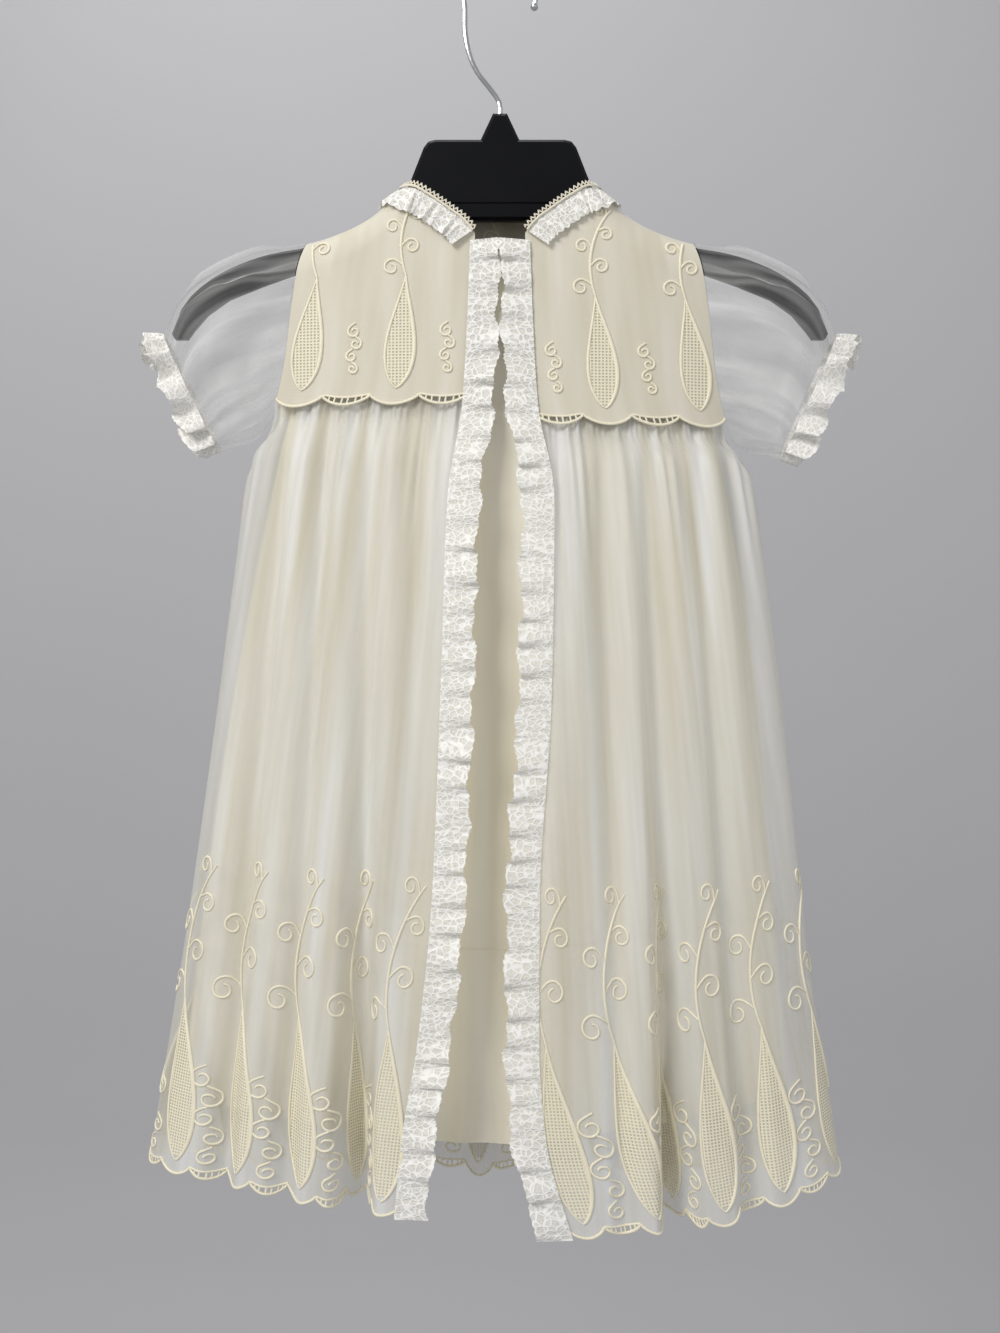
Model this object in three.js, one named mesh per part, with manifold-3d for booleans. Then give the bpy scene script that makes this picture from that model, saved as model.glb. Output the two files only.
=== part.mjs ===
// A christening gown of sheer organza over a plain slip, hanging on a moulded hanger.
// Millimetres, +Z up, +X to the right as the open front is seen, +Y to the back.
// Left and right are as seen from the front. The origin is the inner top of the hook.
import * as THREE from "three";
import { mergeVertices } from "three/addons/utils/BufferGeometryUtils.js";
import Module from "manifold-3d";

const wasm = await Module();
wasm.setup();

const LEFT = -1;
const RIGHT = 1;
const FRONT = -1;
const BACK = 1;

const SEAM = 0.3; // gap at each seam
const CLOTH = 1.2; // wall of the gown's and the slip's cloth
const LACE = 1.0; // wall of the gathered laces

const LACE_WIDTH = 16;
const HEM_SCALLOP = 6.5; // depth of a scallop below its cusps
const YOKE_SCALLOP = 6;
const SHOULDER_FALL = 22; // drop over which the cloth rounds off the hanger's arm
const ARM_REST = 2.5; // outer face of the cloth above the arm's top edge
const NECK_CORNER = 66.5; // where the neckline meets the shoulder line
const NECK_RISE = 0.82; // slope of the shoulder line there

// Half the hanger's upper and lower edges, from the plate out to the tip
const ARM_TOP = [
  { x: 60.5, z: -148 },
  { x: 66.5, z: -153.5 },
  { x: 86.5, z: -170 },
  { x: 104, z: -178.5 },
  { x: 121, z: -184 },
  { x: 150, z: -189.5 },
  { x: 176, z: -199 },
  { x: 197, z: -213 },
  { x: 208, z: -227 },
  { x: 213, z: -241 },
];
const ARM_UNDER = [
  { x: 199, z: -239 },
  { x: 190, z: -228.5 },
  { x: 176, z: -218.5 },
  { x: 154, z: -209.5 },
  { x: 130, z: -201 },
  { x: 90, z: -190 },
  { x: 46, z: -174 },
  { x: 34, z: -167.5 },
];

// The hanging body at each height: its two side edges and how far front and back stand out
const BODY = [
  { z: -140, left: -174, right: 174, front: 19, back: 15 },
  { z: -200, left: -161, right: 161, front: 23, back: 20 },
  { z: -260, left: -156, right: 156, front: 25, back: 23 },
  { z: -297, left: -151.5, right: 152, front: 27, back: 25 },
  { z: -309, left: -155.5, right: 151, front: 29, back: 27 },
  { z: -325, left: -162.5, right: 161.5, front: 34, back: 30 },
  { z: -385, left: -171, right: 171.5, front: 42, back: 35 },
  { z: -506, left: -186.6, right: 186, front: 50, back: 41 },
  { z: -626, left: -203.5, right: 198, front: 56, back: 46 },
  { z: -720, left: -218.4, right: 211, front: 61, back: 49 },
  { z: -810, left: -233, right: 225, front: 66, back: 52 },
];
const SLIP_BODY = [
  { z: -190, left: -114, right: 114, front: 20.6, back: 18 },
  { z: -205, left: -118, right: 118, front: 21.2, back: 18.4 },
  { z: -250, left: -127, right: 127, front: 20, back: 17 },
  { z: -282, left: -133, right: 132, front: 15.5, back: 13.5 },
  { z: -315, left: -142, right: 141, front: 15.5, back: 13.5 },
  { z: -506, left: -178, right: 172, front: 18, back: 18 },
  { z: -626, left: -194, right: 180, front: 21, back: 23 },
  { z: -780, left: -212, right: 190, front: 23, back: 26 },
];

// The two front edges and the free edges of their laces
const OPENING = [
  { z: -184, left: -16, leftLace: -1.5, rightLace: 1.5, right: 16 },
  { z: -240, left: -18, leftLace: -2, rightLace: 2, right: 18 },
  { z: -290, left: -21, leftLace: -4.5, rightLace: 4.5, right: 21 },
  { z: -352, left: -30, leftLace: -13.5, rightLace: 14, right: 31 },
  { z: -475, left: -34, leftLace: -17.5, rightLace: 12, right: 29 },
  { z: -600, left: -39, leftLace: -22.5, rightLace: 4.5, right: 21.5 },
  { z: -690, left: -48, leftLace: -31, rightLace: 4, right: 21 },
  { z: -745, left: -57, leftLace: -40.5, rightLace: 8, right: 25 },
  { z: -808, left: -63, leftLace: -46.5, rightLace: 25, right: 42 },
];

// Armhole seam, as a share of the way from the shoulder to the underarm
const ARMHOLE = [
  { share: 0, x: 125 },
  { share: 0.15, x: 130 },
  { share: 0.4, x: 134.5 },
  { share: 0.65, x: 138 },
  { share: 0.85, x: 143 },
  { share: 1, x: 150.5 },
];
const SHOULDER_Z = -183;
const UNDERARM = { [LEFT]: -297, [RIGHT]: -309 };
const YOKE_SEAM = { [LEFT]: -284, [RIGHT]: -297 };
const BACK_YOKE_SEAM = -288;

const FRONT_NECKLINE = [
  { x: 0, z: -191 },
  { x: 14, z: -183 },
  { x: 21, z: -174.5 },
  { x: 27, z: -169 },
  { x: 60, z: -151 },
  { x: NECK_CORNER, z: -151.2 },
];
const BACK_NECK_Z = -151.2;

// Level of the cusps along each hem
const FRONT_HEM = [
  { x: -233, z: -769 },
  { x: -160, z: -776 },
  { x: -110, z: -783 },
  { x: -60, z: -787 },
  { x: 42, z: -799 },
  { x: 120, z: -798 },
  { x: 170, z: -790 },
  { x: 225, z: -776 },
];
const BACK_HEM = [
  { x: -233, z: -769 },
  { x: -150, z: -783 },
  { x: 0, z: -793 },
  { x: 150, z: -788 },
  { x: 225, z: -776 },
];
const SLIP_HEM = [
  { x: -212, z: -735 },
  { x: 0, z: -761 },
  { x: 190, z: -733 },
];

// Each main fold runs from the yoke seam to the hem as a trough in the cloth
const FRONT_FOLDS = [
  { top: -133, hem: -176, topHalf: 9, hemHalf: 15, topDepth: 1, hemDepth: 9 },
  { top: -107, hem: -134, topHalf: 10, hemHalf: 14, topDepth: 1, hemDepth: 8 },
  { top: -80, hem: -91, topHalf: 12, hemHalf: 17, topDepth: 1, hemDepth: 34 },
  { top: 60, hem: 77, topHalf: 12, hemHalf: 13, topDepth: 1, hemDepth: 4 },
  { top: 92, hem: 113, topHalf: 12, hemHalf: 17, topDepth: 1, hemDepth: 40 },
  { top: 126, hem: 160, topHalf: 10, hemHalf: 16, topDepth: 1, hemDepth: 11 },
];
const BACK_FOLDS = [
  { top: -110, hem: -165, topHalf: 12, hemHalf: 20, topDepth: 1, hemDepth: 13 },
  { top: -62, hem: -92, topHalf: 13, hemHalf: 22, topDepth: 1, hemDepth: 18 },
  { top: -8, hem: -12, topHalf: 13, hemHalf: 20, topDepth: 1, hemDepth: 15 },
  { top: 48, hem: 70, topHalf: 13, hemHalf: 22, topDepth: 1, hemDepth: 19 },
  { top: 104, hem: 150, topHalf: 12, hemHalf: 20, topDepth: 1, hemDepth: 13 },
];
const SLIP_FRONT_FOLDS = [
  { top: -40, hem: -66, topHalf: 14, hemHalf: 22, topDepth: 0, hemDepth: 4 },
  { top: 2, hem: -12, topHalf: 12, hemHalf: 22, topDepth: 0, hemDepth: 5 },
  { top: 50, hem: 74, topHalf: 14, hemHalf: 24, topDepth: 0, hemDepth: 4 },
];
const FOLD_POWER = 2; // how late a fold deepens on its way down

const COLOUR = { organza: 0xe8e2ce, slip: 0xefe6c8, lace: 0xf0efe6, plastic: 0x16181d, steel: 0xc8ccd0 };
const group = new THREE.Group();

const lerp = THREE.MathUtils.lerp;
const smooth = THREE.MathUtils.smoothstep;
const clamp = THREE.MathUtils.clamp;

// Value of one column where another has the given number, on a smooth curve through the rows
function along(rows, key, at, column) {
  const rising = rows[rows.length - 1][key] > rows[0][key];
  const list = rising ? rows : [...rows].reverse();
  const last = list.length - 1;
  const place = clamp(at, list[0][key], list[last][key]);
  let i = 0;
  while (i < last - 1 && place > list[i + 1][key]) i += 1;
  const step = (a, b) => (list[b][column] - list[a][column]) / (list[b][key] - list[a][key]);
  const slope = (k) => {
    if (k === 0) return step(0, 1);
    if (k === last) return step(last - 1, last);
    const before = step(k - 1, k);
    const after = step(k, k + 1);
    return before * after <= 0 ? 0 : (2 * before * after) / (before + after);
  };
  const span = list[i + 1][key] - list[i][key];
  const t = (place - list[i][key]) / span;
  const hold = (1 + 2 * t) * (1 - t) ** 2;
  return (
    hold * list[i][column] +
    (1 - hold) * list[i + 1][column] +
    span * t * (1 - t) * ((1 - t) * slope(i) - t * slope(i + 1))
  );
}

// Gives an indexed geometry whose shared corners are merged, facing out
function closed(geometry) {
  const bare = geometry.clone();
  bare.deleteAttribute("normal");
  bare.deleteAttribute("uv");
  return mergeVertices(bare, 1e-3);
}

function add(name, geometry, colour, roughness, metalness = 0) {
  const material = new THREE.MeshStandardMaterial({ color: colour, roughness, metalness });
  const mesh = new THREE.Mesh(geometry, material);
  mesh.name = name;
  group.add(mesh);
}

function volume(points, faces) {
  let sum = 0;
  for (let i = 0; i < faces.length; i += 3) {
    const [a, b, c] = [points[faces[i]], points[faces[i + 1]], points[faces[i + 2]]];
    sum += a.dot(b.clone().cross(c)) / 6;
  }
  return sum;
}

// A cloth wall. surface(u, v) gives its outer face, and inside(u, v) a point on its inner side.
// A round wall joins its last column to its first. rim(u, v) gives the way in where an edge meets
// another piece at a seam, so that the edge's face lies along the seam.
function wall({ columns, rows, surface, inside, thickness, rim = () => null, round = false }) {
  const across = round ? columns : columns + 1;
  const levels = Array.isArray(rows) ? rows : Array.from({ length: rows + 1 }, (_, r) => r / rows);
  const outer = levels.map((v) => Array.from({ length: across }, (_, c) => surface(c / columns, v)));
  const tall = levels.length;
  const column = (c) => (round ? (c + columns) % columns : clamp(c, 0, across - 1));
  const inner = outer.map((line, r) =>
    line.map((point, c) => {
      const wide = outer[r][column(c + 1)].clone().sub(outer[r][column(c - 1)]);
      const high = outer[Math.min(r + 1, tall - 1)][c].clone().sub(outer[Math.max(r - 1, 0)][c]);
      const normal = wide.cross(high).normalize();
      const inwards = inside(c / columns, levels[r]).sub(point);
      if (normal.dot(inwards) < 0) normal.negate();
      return point.clone().addScaledVector(rim(c / columns, levels[r]) ?? normal, thickness);
    }),
  );
  const points = [...outer.flat(), ...inner.flat()];
  const at = (face, r, c) => face * across * tall + r * across + column(c);
  const faces = [];
  const quad = (a, b, c, d) => faces.push(a, b, c, a, c, d);
  const spans = round ? columns : across - 1;
  for (let c = 0; c < spans; c += 1) {
    for (let r = 0; r < tall - 1; r += 1) {
      quad(at(0, r, c), at(0, r, c + 1), at(0, r + 1, c + 1), at(0, r + 1, c));
      quad(at(1, r, c), at(1, r + 1, c), at(1, r + 1, c + 1), at(1, r, c + 1));
    }
    quad(at(0, 0, c + 1), at(0, 0, c), at(1, 0, c), at(1, 0, c + 1));
    quad(at(0, tall - 1, c), at(0, tall - 1, c + 1), at(1, tall - 1, c + 1), at(1, tall - 1, c));
  }
  for (let r = 0; r < tall - 1 && !round; r += 1) {
    quad(at(0, r, 0), at(0, r + 1, 0), at(1, r + 1, 0), at(1, r, 0));
    quad(at(0, r + 1, spans), at(0, r, spans), at(1, r, spans), at(1, r + 1, spans));
  }
  if (volume(points, faces) < 0) {
    for (let i = 0; i < faces.length; i += 3) [faces[i], faces[i + 1]] = [faces[i + 1], faces[i]];
  }
  const geometry = new THREE.BufferGeometry().setFromPoints(points);
  geometry.setIndex(faces);
  return geometry;
}

// Top of the cloth over the hanger's arm. Inside the neck the line runs on upwards.
function ridge(x) {
  const away = Math.abs(x);
  if (away >= NECK_CORNER) return along(ARM_TOP, "x", away, "z") + ARM_REST;
  return along(ARM_TOP, "x", NECK_CORNER, "z") + ARM_REST + (NECK_CORNER - away) * NECK_RISE;
}

function girth(rows, z) {
  const left = along(rows, "z", z, "left");
  const right = along(rows, "z", z, "right");
  return {
    middle: (left + right) / 2,
    half: (right - left) / 2,
    [FRONT]: along(rows, "z", z, "front"),
    [BACK]: along(rows, "z", z, "back"),
  };
}

// Point of the upper body over x at height z, on its front or back, lifted off the cloth
function chest(x, z, side, lift = 0) {
  const around = girth(BODY, z);
  const across = clamp((x - around.middle) / around.half, -1, 1);
  const depth = around[side] * Math.sqrt(1 - across ** 2) + lift;
  const drop = Math.max(0, ridge(x) + lift - z);
  const over = Math.min(1, drop / SHOULDER_FALL);
  return new THREE.Vector3(x, side * (depth * Math.sqrt(1 - (1 - over) ** 2) + SEAM / 2), z);
}

function armhole(z, hand) {
  const share = (SHOULDER_Z - z) / (SHOULDER_Z - UNDERARM[hand]);
  return along(ARMHOLE, "share", share, "x");
}

// Share of a scallop's depth at a place counted in scallops
function scallop(count) {
  return Math.abs(Math.sin(Math.PI * count)) ** 0.7;
}

// Top edge of the yoke: the shoulder line, then the neckline
function yokeTop(x, side) {
  const top = ridge(x);
  if (Math.abs(x) >= NECK_CORNER) return top;
  const neck = side === BACK ? BACK_NECK_Z : along(FRONT_NECKLINE, "x", Math.abs(x), "z");
  return Math.min(top, neck);
}

// A yoke panel between the lines from(z) and to(z)
function yoke({ side, from, to, seam, columns, scallops }) {
  const surface = (u, v) => {
    let z = SHOULDER_Z;
    for (let i = 0; i < 8; i += 1) z = yokeTop(lerp(from(z), to(z), u), side);
    const low = seam - YOKE_SCALLOP * scallop(u * scallops) * smooth(v, 0.9, 1);
    const level = lerp(z, low, v);
    return chest(lerp(from(level), to(level), u), level, side);
  };
  const inside = (u, v) => {
    const here = surface(u, v);
    return new THREE.Vector3(here.x * 0.9, 0, here.z - 4);
  };
  const rim = (u, v) => {
    const onShoulder = v === 0 && Math.abs(surface(u, v).x) > NECK_CORNER - 2;
    return onShoulder ? new THREE.Vector3(0, 0, -1) : null;
  };
  const rows = [0, 0.012, 0.05, 0.13, 0.32, 0.62, 0.92, 1];
  return wall({ columns, rows, surface, inside, rim, thickness: CLOTH });
}

function opening(z, column) {
  return along(OPENING, "z", z, column);
}

// Depth of the folds, as a push inwards, at x and a share v of the way down
function foldDepth(folds, x, v) {
  let depth = 0;
  for (const fold of folds) {
    const offset = (x - lerp(fold.top, fold.hem, v)) / lerp(fold.topHalf, fold.hemHalf, v);
    if (Math.abs(offset) >= 1) continue;
    const deep = lerp(fold.topDepth, fold.hemDepth, v ** FOLD_POWER);
    depth += (deep * (1 + Math.cos(Math.PI * offset))) / 2;
  }
  return depth;
}

// Point of a hanging tube at an angle from its left side, pushed in by a depth
function around(rows, angle, z, side, push) {
  const ring = girth(rows, z);
  const wide = -Math.cos(angle);
  const deep = Math.sin(angle);
  const normal = new THREE.Vector2(wide / ring.half, deep / ring[side]).normalize();
  return new THREE.Vector3(
    ring.middle + ring.half * wide - push * normal.x,
    side * (ring[side] * deep - push * normal.y + SEAM / 2),
    z,
  );
}

const FINE_STEPS = 240;

// A panel of a hanging tube. Its columns are spaced evenly along the cloth, so that folds take up
// their own share of it. start(z) and end(z) are angles from the tube's left side.
function hanging(panel) {
  const { rows, side, start, end, top, hem, folds, columns, levels, scallops = 0, gathers = 0 } = panel;
  const { gatherDepth = 0, inset = 0, seamAtStart = true, seamAtEnd = false } = panel;
  const lines = new Map();
  const push = (p, x, v) => {
    const fade = (seamAtStart ? smooth(p, 0, 0.08) : 1) * (1 - smooth(p, 0.92, 1));
    return foldDepth(folds, x, v) * fade + inset * (1 - smooth(v, 0.03, 0.09));
  };
  const point = (p, z, v, extra) => {
    const angle = lerp(start(z), end(z), p);
    const x = around(rows, angle, z, side, 0).x;
    return around(rows, angle, z, side, push(p, x, v) + extra);
  };
  const share = (u, v) => {
    if (!lines.has(v)) {
      const z = lerp(top(0.5), hem(0), v);
      const lengths = [0];
      for (let k = 1; k <= FINE_STEPS; k += 1) {
        const step = point(k / FINE_STEPS, z, v, 0).distanceTo(point((k - 1) / FINE_STEPS, z, v, 0));
        lengths.push(lengths[k - 1] + step);
      }
      lines.set(v, lengths);
    }
    const lengths = lines.get(v);
    const wanted = u * lengths[FINE_STEPS];
    let k = 1;
    while (k < FINE_STEPS && lengths[k] < wanted) k += 1;
    return (k - 1 + (wanted - lengths[k - 1]) / (lengths[k] - lengths[k - 1])) / FINE_STEPS;
  };
  const surface = (u, v) => {
    const p = share(u, v);
    const level = lerp(top(0.5), hem(0), v);
    const x = around(rows, lerp(start(level), end(level), p), level, side, 0).x;
    const edge = smooth(u, 0, 0.04) * (seamAtEnd ? 1 - smooth(u, 0.96, 1) : 1);
    const gather = gatherDepth * Math.cos(2 * Math.PI * gathers * u) * (1 - smooth(v, 0, 0.35)) * edge;
    const drop = HEM_SCALLOP * scallop(u * scallops) * smooth(v, 0.93, 1);
    const z = lerp(top(u), hem(x), v) - (scallops ? drop : 0);
    return point(p, z, v, gather);
  };
  const inside = (u, v) => {
    const here = surface(u, v);
    return new THREE.Vector3(here.x * 0.8, 0, here.z);
  };
  const rim = (u) => {
    if (u === 0 && seamAtStart) return new THREE.Vector3(start(0) === 0 ? 1 : -1, 0, 0);
    return u === 1 && seamAtEnd ? new THREE.Vector3(-1, 0, 0) : null;
  };
  return wall({ columns, rows: levels, surface, inside, rim, thickness: CLOTH });
}

const angleAt = (rows, x, z) => {
  const ring = girth(rows, z);
  return Math.acos(clamp((ring.middle - x) / ring.half, -1, 1));
};

// The skirt starts behind the yoke's border, and rises from the underarm to it
function skirtTop(seam, underarm) {
  const overlap = 7;
  return (u) => lerp(underarm - 1, seam + overlap, smooth(u, 0, 0.07));
}

function hemLevel(rows) {
  return (x) => along(rows, "x", x, "z");
}

const SKIRT_LEVELS = [0, 0.03, 0.06, 0.1, 0.2, 0.4, 0.6, 0.8, 0.94, 1];
const BACK_LEVELS = [0, 0.03, 0.06, 0.1, 0.3, 0.6, 0.94, 1];
const SKIRT_INSET = CLOTH + SEAM + 2.1; // how far the gathered edge lies behind the yoke
const GATHER_DEPTH = 1.5;

for (const [hand, word] of [[LEFT, "left"], [RIGHT, "right"]]) {
  const scallops = hand === LEFT ? 10 : 11;
  add(
    `yoke_front_${word}`,
    yoke({
      side: FRONT,
      from: (z) => hand * armhole(z, hand),
      to: (z) => opening(z, word),
      seam: YOKE_SEAM[hand],
      columns: 20,
      scallops: 4,
    }),
    COLOUR.organza,
    0.7,
  );
  add(
    `skirt_front_${word}`,
    hanging({
      rows: BODY,
      side: FRONT,
      start: () => (hand === LEFT ? 0 : Math.PI),
      end: (z) => angleAt(BODY, opening(z, word), z),
      top: skirtTop(YOKE_SEAM[hand], UNDERARM[hand]),
      hem: hemLevel(FRONT_HEM),
      folds: FRONT_FOLDS,
      columns: scallops * 4,
      levels: SKIRT_LEVELS,
      scallops,
      gathers: scallops,
      gatherDepth: GATHER_DEPTH,
      inset: SKIRT_INSET,
    }),
    COLOUR.organza,
    0.6,
  );
}

add(
  "yoke_back",
  yoke({
    side: BACK,
    from: (z) => -armhole(z, LEFT),
    to: (z) => armhole(z, RIGHT),
    seam: BACK_YOKE_SEAM,
    columns: 36,
    scallops: 9,
  }),
  COLOUR.organza,
  0.7,
);

const BACK_SCALLOPS = 22;
add(
  "skirt_back",
  hanging({
    rows: BODY,
    side: BACK,
    start: () => 0,
    end: () => Math.PI,
    top: (u) => {
      const rise = lerp(UNDERARM[LEFT] - 1, BACK_YOKE_SEAM + 7, smooth(u, 0, 0.04));
      return lerp(UNDERARM[RIGHT] - 1, rise, smooth(1 - u, 0, 0.04));
    },
    hem: hemLevel(BACK_HEM),
    folds: BACK_FOLDS,
    columns: BACK_SCALLOPS * 4,
    levels: BACK_LEVELS,
    scallops: BACK_SCALLOPS,
    gathers: BACK_SCALLOPS,
    gatherDepth: GATHER_DEPTH,
    inset: SKIRT_INSET,
    seamAtEnd: true,
  }),
  COLOUR.organza,
  0.6,
);

const SLIP_TOP = -205;
for (const [side, word, folds] of [[FRONT, "front", SLIP_FRONT_FOLDS], [BACK, "back", []]]) {
  add(
    `slip_${word}`,
    hanging({
      rows: SLIP_BODY,
      side,
      start: () => 0,
      end: () => Math.PI,
      top: () => SLIP_TOP,
      hem: hemLevel(SLIP_HEM),
      folds,
      columns: 18,
      levels: [0, 0.1, 0.2, 0.4, 0.6, 0.8, 1],
      seamAtEnd: true,
    }),
    COLOUR.slip,
    0.8,
  );
}

// The sleeve's top and bottom edges and its half depth, at shares of the way from the armhole to the cuff
const SLEEVE = [
  { share: 0, topX: 125, topZ: -183.5, lowX: 151, fall: 0, depth: 14 },
  { share: 0.25, topX: 151, topZ: -186, lowX: 157, fall: 0.55, depth: 21 },
  { share: 0.5, topX: 177, topZ: -195.5, lowX: 165, fall: 0.75, depth: 27 },
  { share: 0.75, topX: 200.5, topZ: -210.5, lowX: 174, fall: 0.88, depth: 24 },
  { share: 0.9, topX: 212.5, topZ: -227, lowX: 179, fall: 0.95, depth: 18 },
  { share: 1, topX: 217.5, topZ: -242, lowX: 182, fall: 1, depth: 14.5 },
];
const CUFF_LOW_Z = { [LEFT]: -316, [RIGHT]: -321 };
const CUFF_DROOP = 0.6; // slope of the lace at the cuff's top, none at its bottom
const SLEEVE_LEVELS = [0, 0.08, 0.25, 0.5, 0.78, 1];
const CUFF_GATHERS = 12;
const SLEEVE_GAP = 0.5;
const BOXY = 2.6; // above 2, an oval with fuller corners

// Point of the sleeve, share of the way round from its top over the front
function sleevePoint(hand, round, share, push) {
  const value = (column) => along(SLEEVE, "share", share, column);
  const turn = 2 * Math.PI * round;
  const height = Math.sign(Math.cos(turn)) * Math.abs(Math.cos(turn)) ** (2 / BOXY);
  const across = Math.sign(Math.sin(turn)) * Math.abs(Math.sin(turn)) ** (2 / BOXY);
  const lowZ = lerp(UNDERARM[hand], CUFF_LOW_Z[hand], value("fall"));
  const low = new THREE.Vector3(hand * value("lowX"), 0, lowZ);
  const high = new THREE.Vector3(hand * value("topX"), 0, value("topZ"));
  const middle = high.clone().add(low).multiplyScalar(0.5);
  const reach = high.clone().sub(low).multiplyScalar(0.5);
  const puffed = middle.clone().addScaledVector(reach, height * (1 + push / reach.length()));
  puffed.y = -across * (value("depth") + push);
  const z = lerp(UNDERARM[hand], SHOULDER_Z, (height + 1) / 2);
  const sewn = chest(hand * armhole(z, hand), z, across > 0 ? FRONT : BACK);
  sewn.x += hand * SLEEVE_GAP;
  const top = ridge(hand * armhole(SHOULDER_Z, hand));
  sewn.z = lerp(UNDERARM[hand] - 0.5, top, (height + 1) / 2);
  if (Math.abs(across) < 1e-6) sewn.y = 0;
  return sewn.lerp(puffed, smooth(share, 0, 0.2));
}

function cuffEdge(hand, round) {
  const gather = 1.6 * Math.cos(2 * Math.PI * CUFF_GATHERS * round);
  return sleevePoint(hand, round, 1, gather);
}

for (const [hand, word] of [[LEFT, "left"], [RIGHT, "right"]]) {
  const centre = (share) => {
    const high = sleevePoint(hand, 0, share, 0);
    return high.add(sleevePoint(hand, 0.5, share, 0)).multiplyScalar(0.5);
  };
  add(
    `sleeve_${word}`,
    wall({
      columns: CUFF_GATHERS * 3,
      rows: SLEEVE_LEVELS,
      round: true,
      surface: (u, v) => {
        const gather = 1.6 * Math.cos(2 * Math.PI * CUFF_GATHERS * u) * smooth(v, 0.6, 1);
        return sleevePoint(hand, u, v, gather);
      },
      inside: (u, v) => centre(v),
      rim: (u, v) => {
        if (v > 0) return null;
        const inwards = centre(v).sub(sleevePoint(hand, u, v, 0));
        return inwards.setX(0).normalize();
      },
      thickness: CLOTH,
    }),
    COLOUR.organza,
    0.5,
  );
  const outwards = (u) => {
    const droop = (CUFF_DROOP * (1 + Math.cos(2 * Math.PI * u))) / 2;
    return new THREE.Vector3(hand, 0, -droop).normalize();
  };
  add(
    `cuff_lace_${word}`,
    wall({
      columns: CUFF_GATHERS * 4,
      rows: 1,
      round: true,
      surface: (u, v) => {
        const wave = 4.2 * v * Math.cos(2 * Math.PI * CUFF_GATHERS * u);
        const radial = sleevePoint(hand, u, 1, 1).sub(sleevePoint(hand, u, 1, 0)).normalize();
        return cuffEdge(hand, u)
          .addScaledVector(outwards(u), 0.5 + LACE_WIDTH * v)
          .addScaledVector(radial, wave);
      },
      inside: () => centre(1),
      thickness: LACE,
    }),
    COLOUR.lace,
    0.8,
  );
}

// Half of the neckline, from the front or back centre to the shoulder, closer set where it rounds off
function halfNeck(side, start) {
  const xs = [];
  const roundOff = 7;
  const outer = NECK_CORNER;
  const dropAt = (x) => ridge(x) - yokeTop(x, side);
  for (let i = 0; i < roundOff; i += 1) {
    const drop = SHOULDER_FALL * (1 - Math.cos((Math.PI / 2) * (i / roundOff)));
    let [near, far] = [start, outer];
    for (let k = 0; k < 30; k += 1) {
      const middle = (near + far) / 2;
      if (dropAt(middle) > drop) near = middle;
      else far = middle;
    }
    xs.push((near + far) / 2);
  }
  const rest = 5;
  const last = xs[xs.length - 1];
  for (let i = 1; i <= rest; i += 1) xs.push(lerp(last, start, i / rest));
  return xs.reverse().map((x) => ({ x, z: yokeTop(x, side), side }));
}

// Neckline from the left front edge round the back to the right front edge
function neckPath() {
  const mirror = (knots) => knots.map((knot) => ({ ...knot, x: -knot.x }));
  const front = halfNeck(FRONT, 17);
  const back = halfNeck(BACK, 0);
  const leftHalf = [...mirror(front), ...mirror(back).slice(0, -1).reverse()];
  return [...leftHalf, ...mirror(leftHalf).reverse().slice(1)];
}

const NECK = neckPath();
NECK.forEach((knot, i) => {
  const before = NECK[Math.max(i - 1, 0)];
  const after = NECK[Math.min(i + 1, NECK.length - 1)];
  const across = new THREE.Vector2(after.z - before.z, before.x - after.x).normalize();
  if (across.y > 0) across.negate();
  const downArm = new THREE.Vector2(Math.sign(knot.x), -NECK_RISE).normalize();
  knot.near = Math.abs(knot.x) > 1 ? 1 - smooth(ridge(knot.x) - knot.z, 0, 14) : 0;
  knot.away = across.lerp(downArm, knot.near).normalize();
});

// Point of a band sewn along the neckline, so far out from its edge and so far above the cloth
function neckPoint(index, out, lift) {
  const knot = NECK[index];
  const x = knot.x + knot.away.x * out;
  const drop = Math.max(0, ridge(x) - knot.z - knot.away.y * out) * (1 - smooth(knot.near, 0.9, 1));
  const raised = lift * (1 - smooth(drop, 0, SHOULDER_FALL));
  return chest(x, ridge(x) + raised - drop, knot.side, lift);
}

const NECK_COLUMNS = NECK.length - 1;
const LOOSE = 0.65; // how much further a gathered band stands off the cloth
const NECK_LACE_LIFT = SEAM + LACE + LOOSE;
const BRAID_WALL = 1.1;
const BRAID_LIFT = NECK_LACE_LIFT + SEAM + BRAID_WALL + LOOSE;
for (const band of [
  { name: "neck_lace", from: 0.5, to: LACE_WIDTH, lift: NECK_LACE_LIFT, rows: 3, wave: 1.1, thick: LACE },
  { name: "neck_braid", from: -3.4, to: 1, lift: BRAID_LIFT, rows: 1, wave: 0, thick: BRAID_WALL },
]) {
  add(
    band.name,
    wall({
      columns: NECK_COLUMNS,
      rows: band.rows,
      surface: (u, v) => {
        const index = Math.round(u * NECK_COLUMNS);
        const wave = band.wave * v * (index % 2);
        return neckPoint(index, lerp(band.from, band.to, v), band.lift + wave);
      },
      inside: (u, v) => neckPoint(Math.round(u * NECK_COLUMNS), lerp(band.from, band.to, v), band.lift - 4),
      thickness: band.thick,
    }),
    COLOUR.lace,
    0.8,
  );
}

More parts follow.
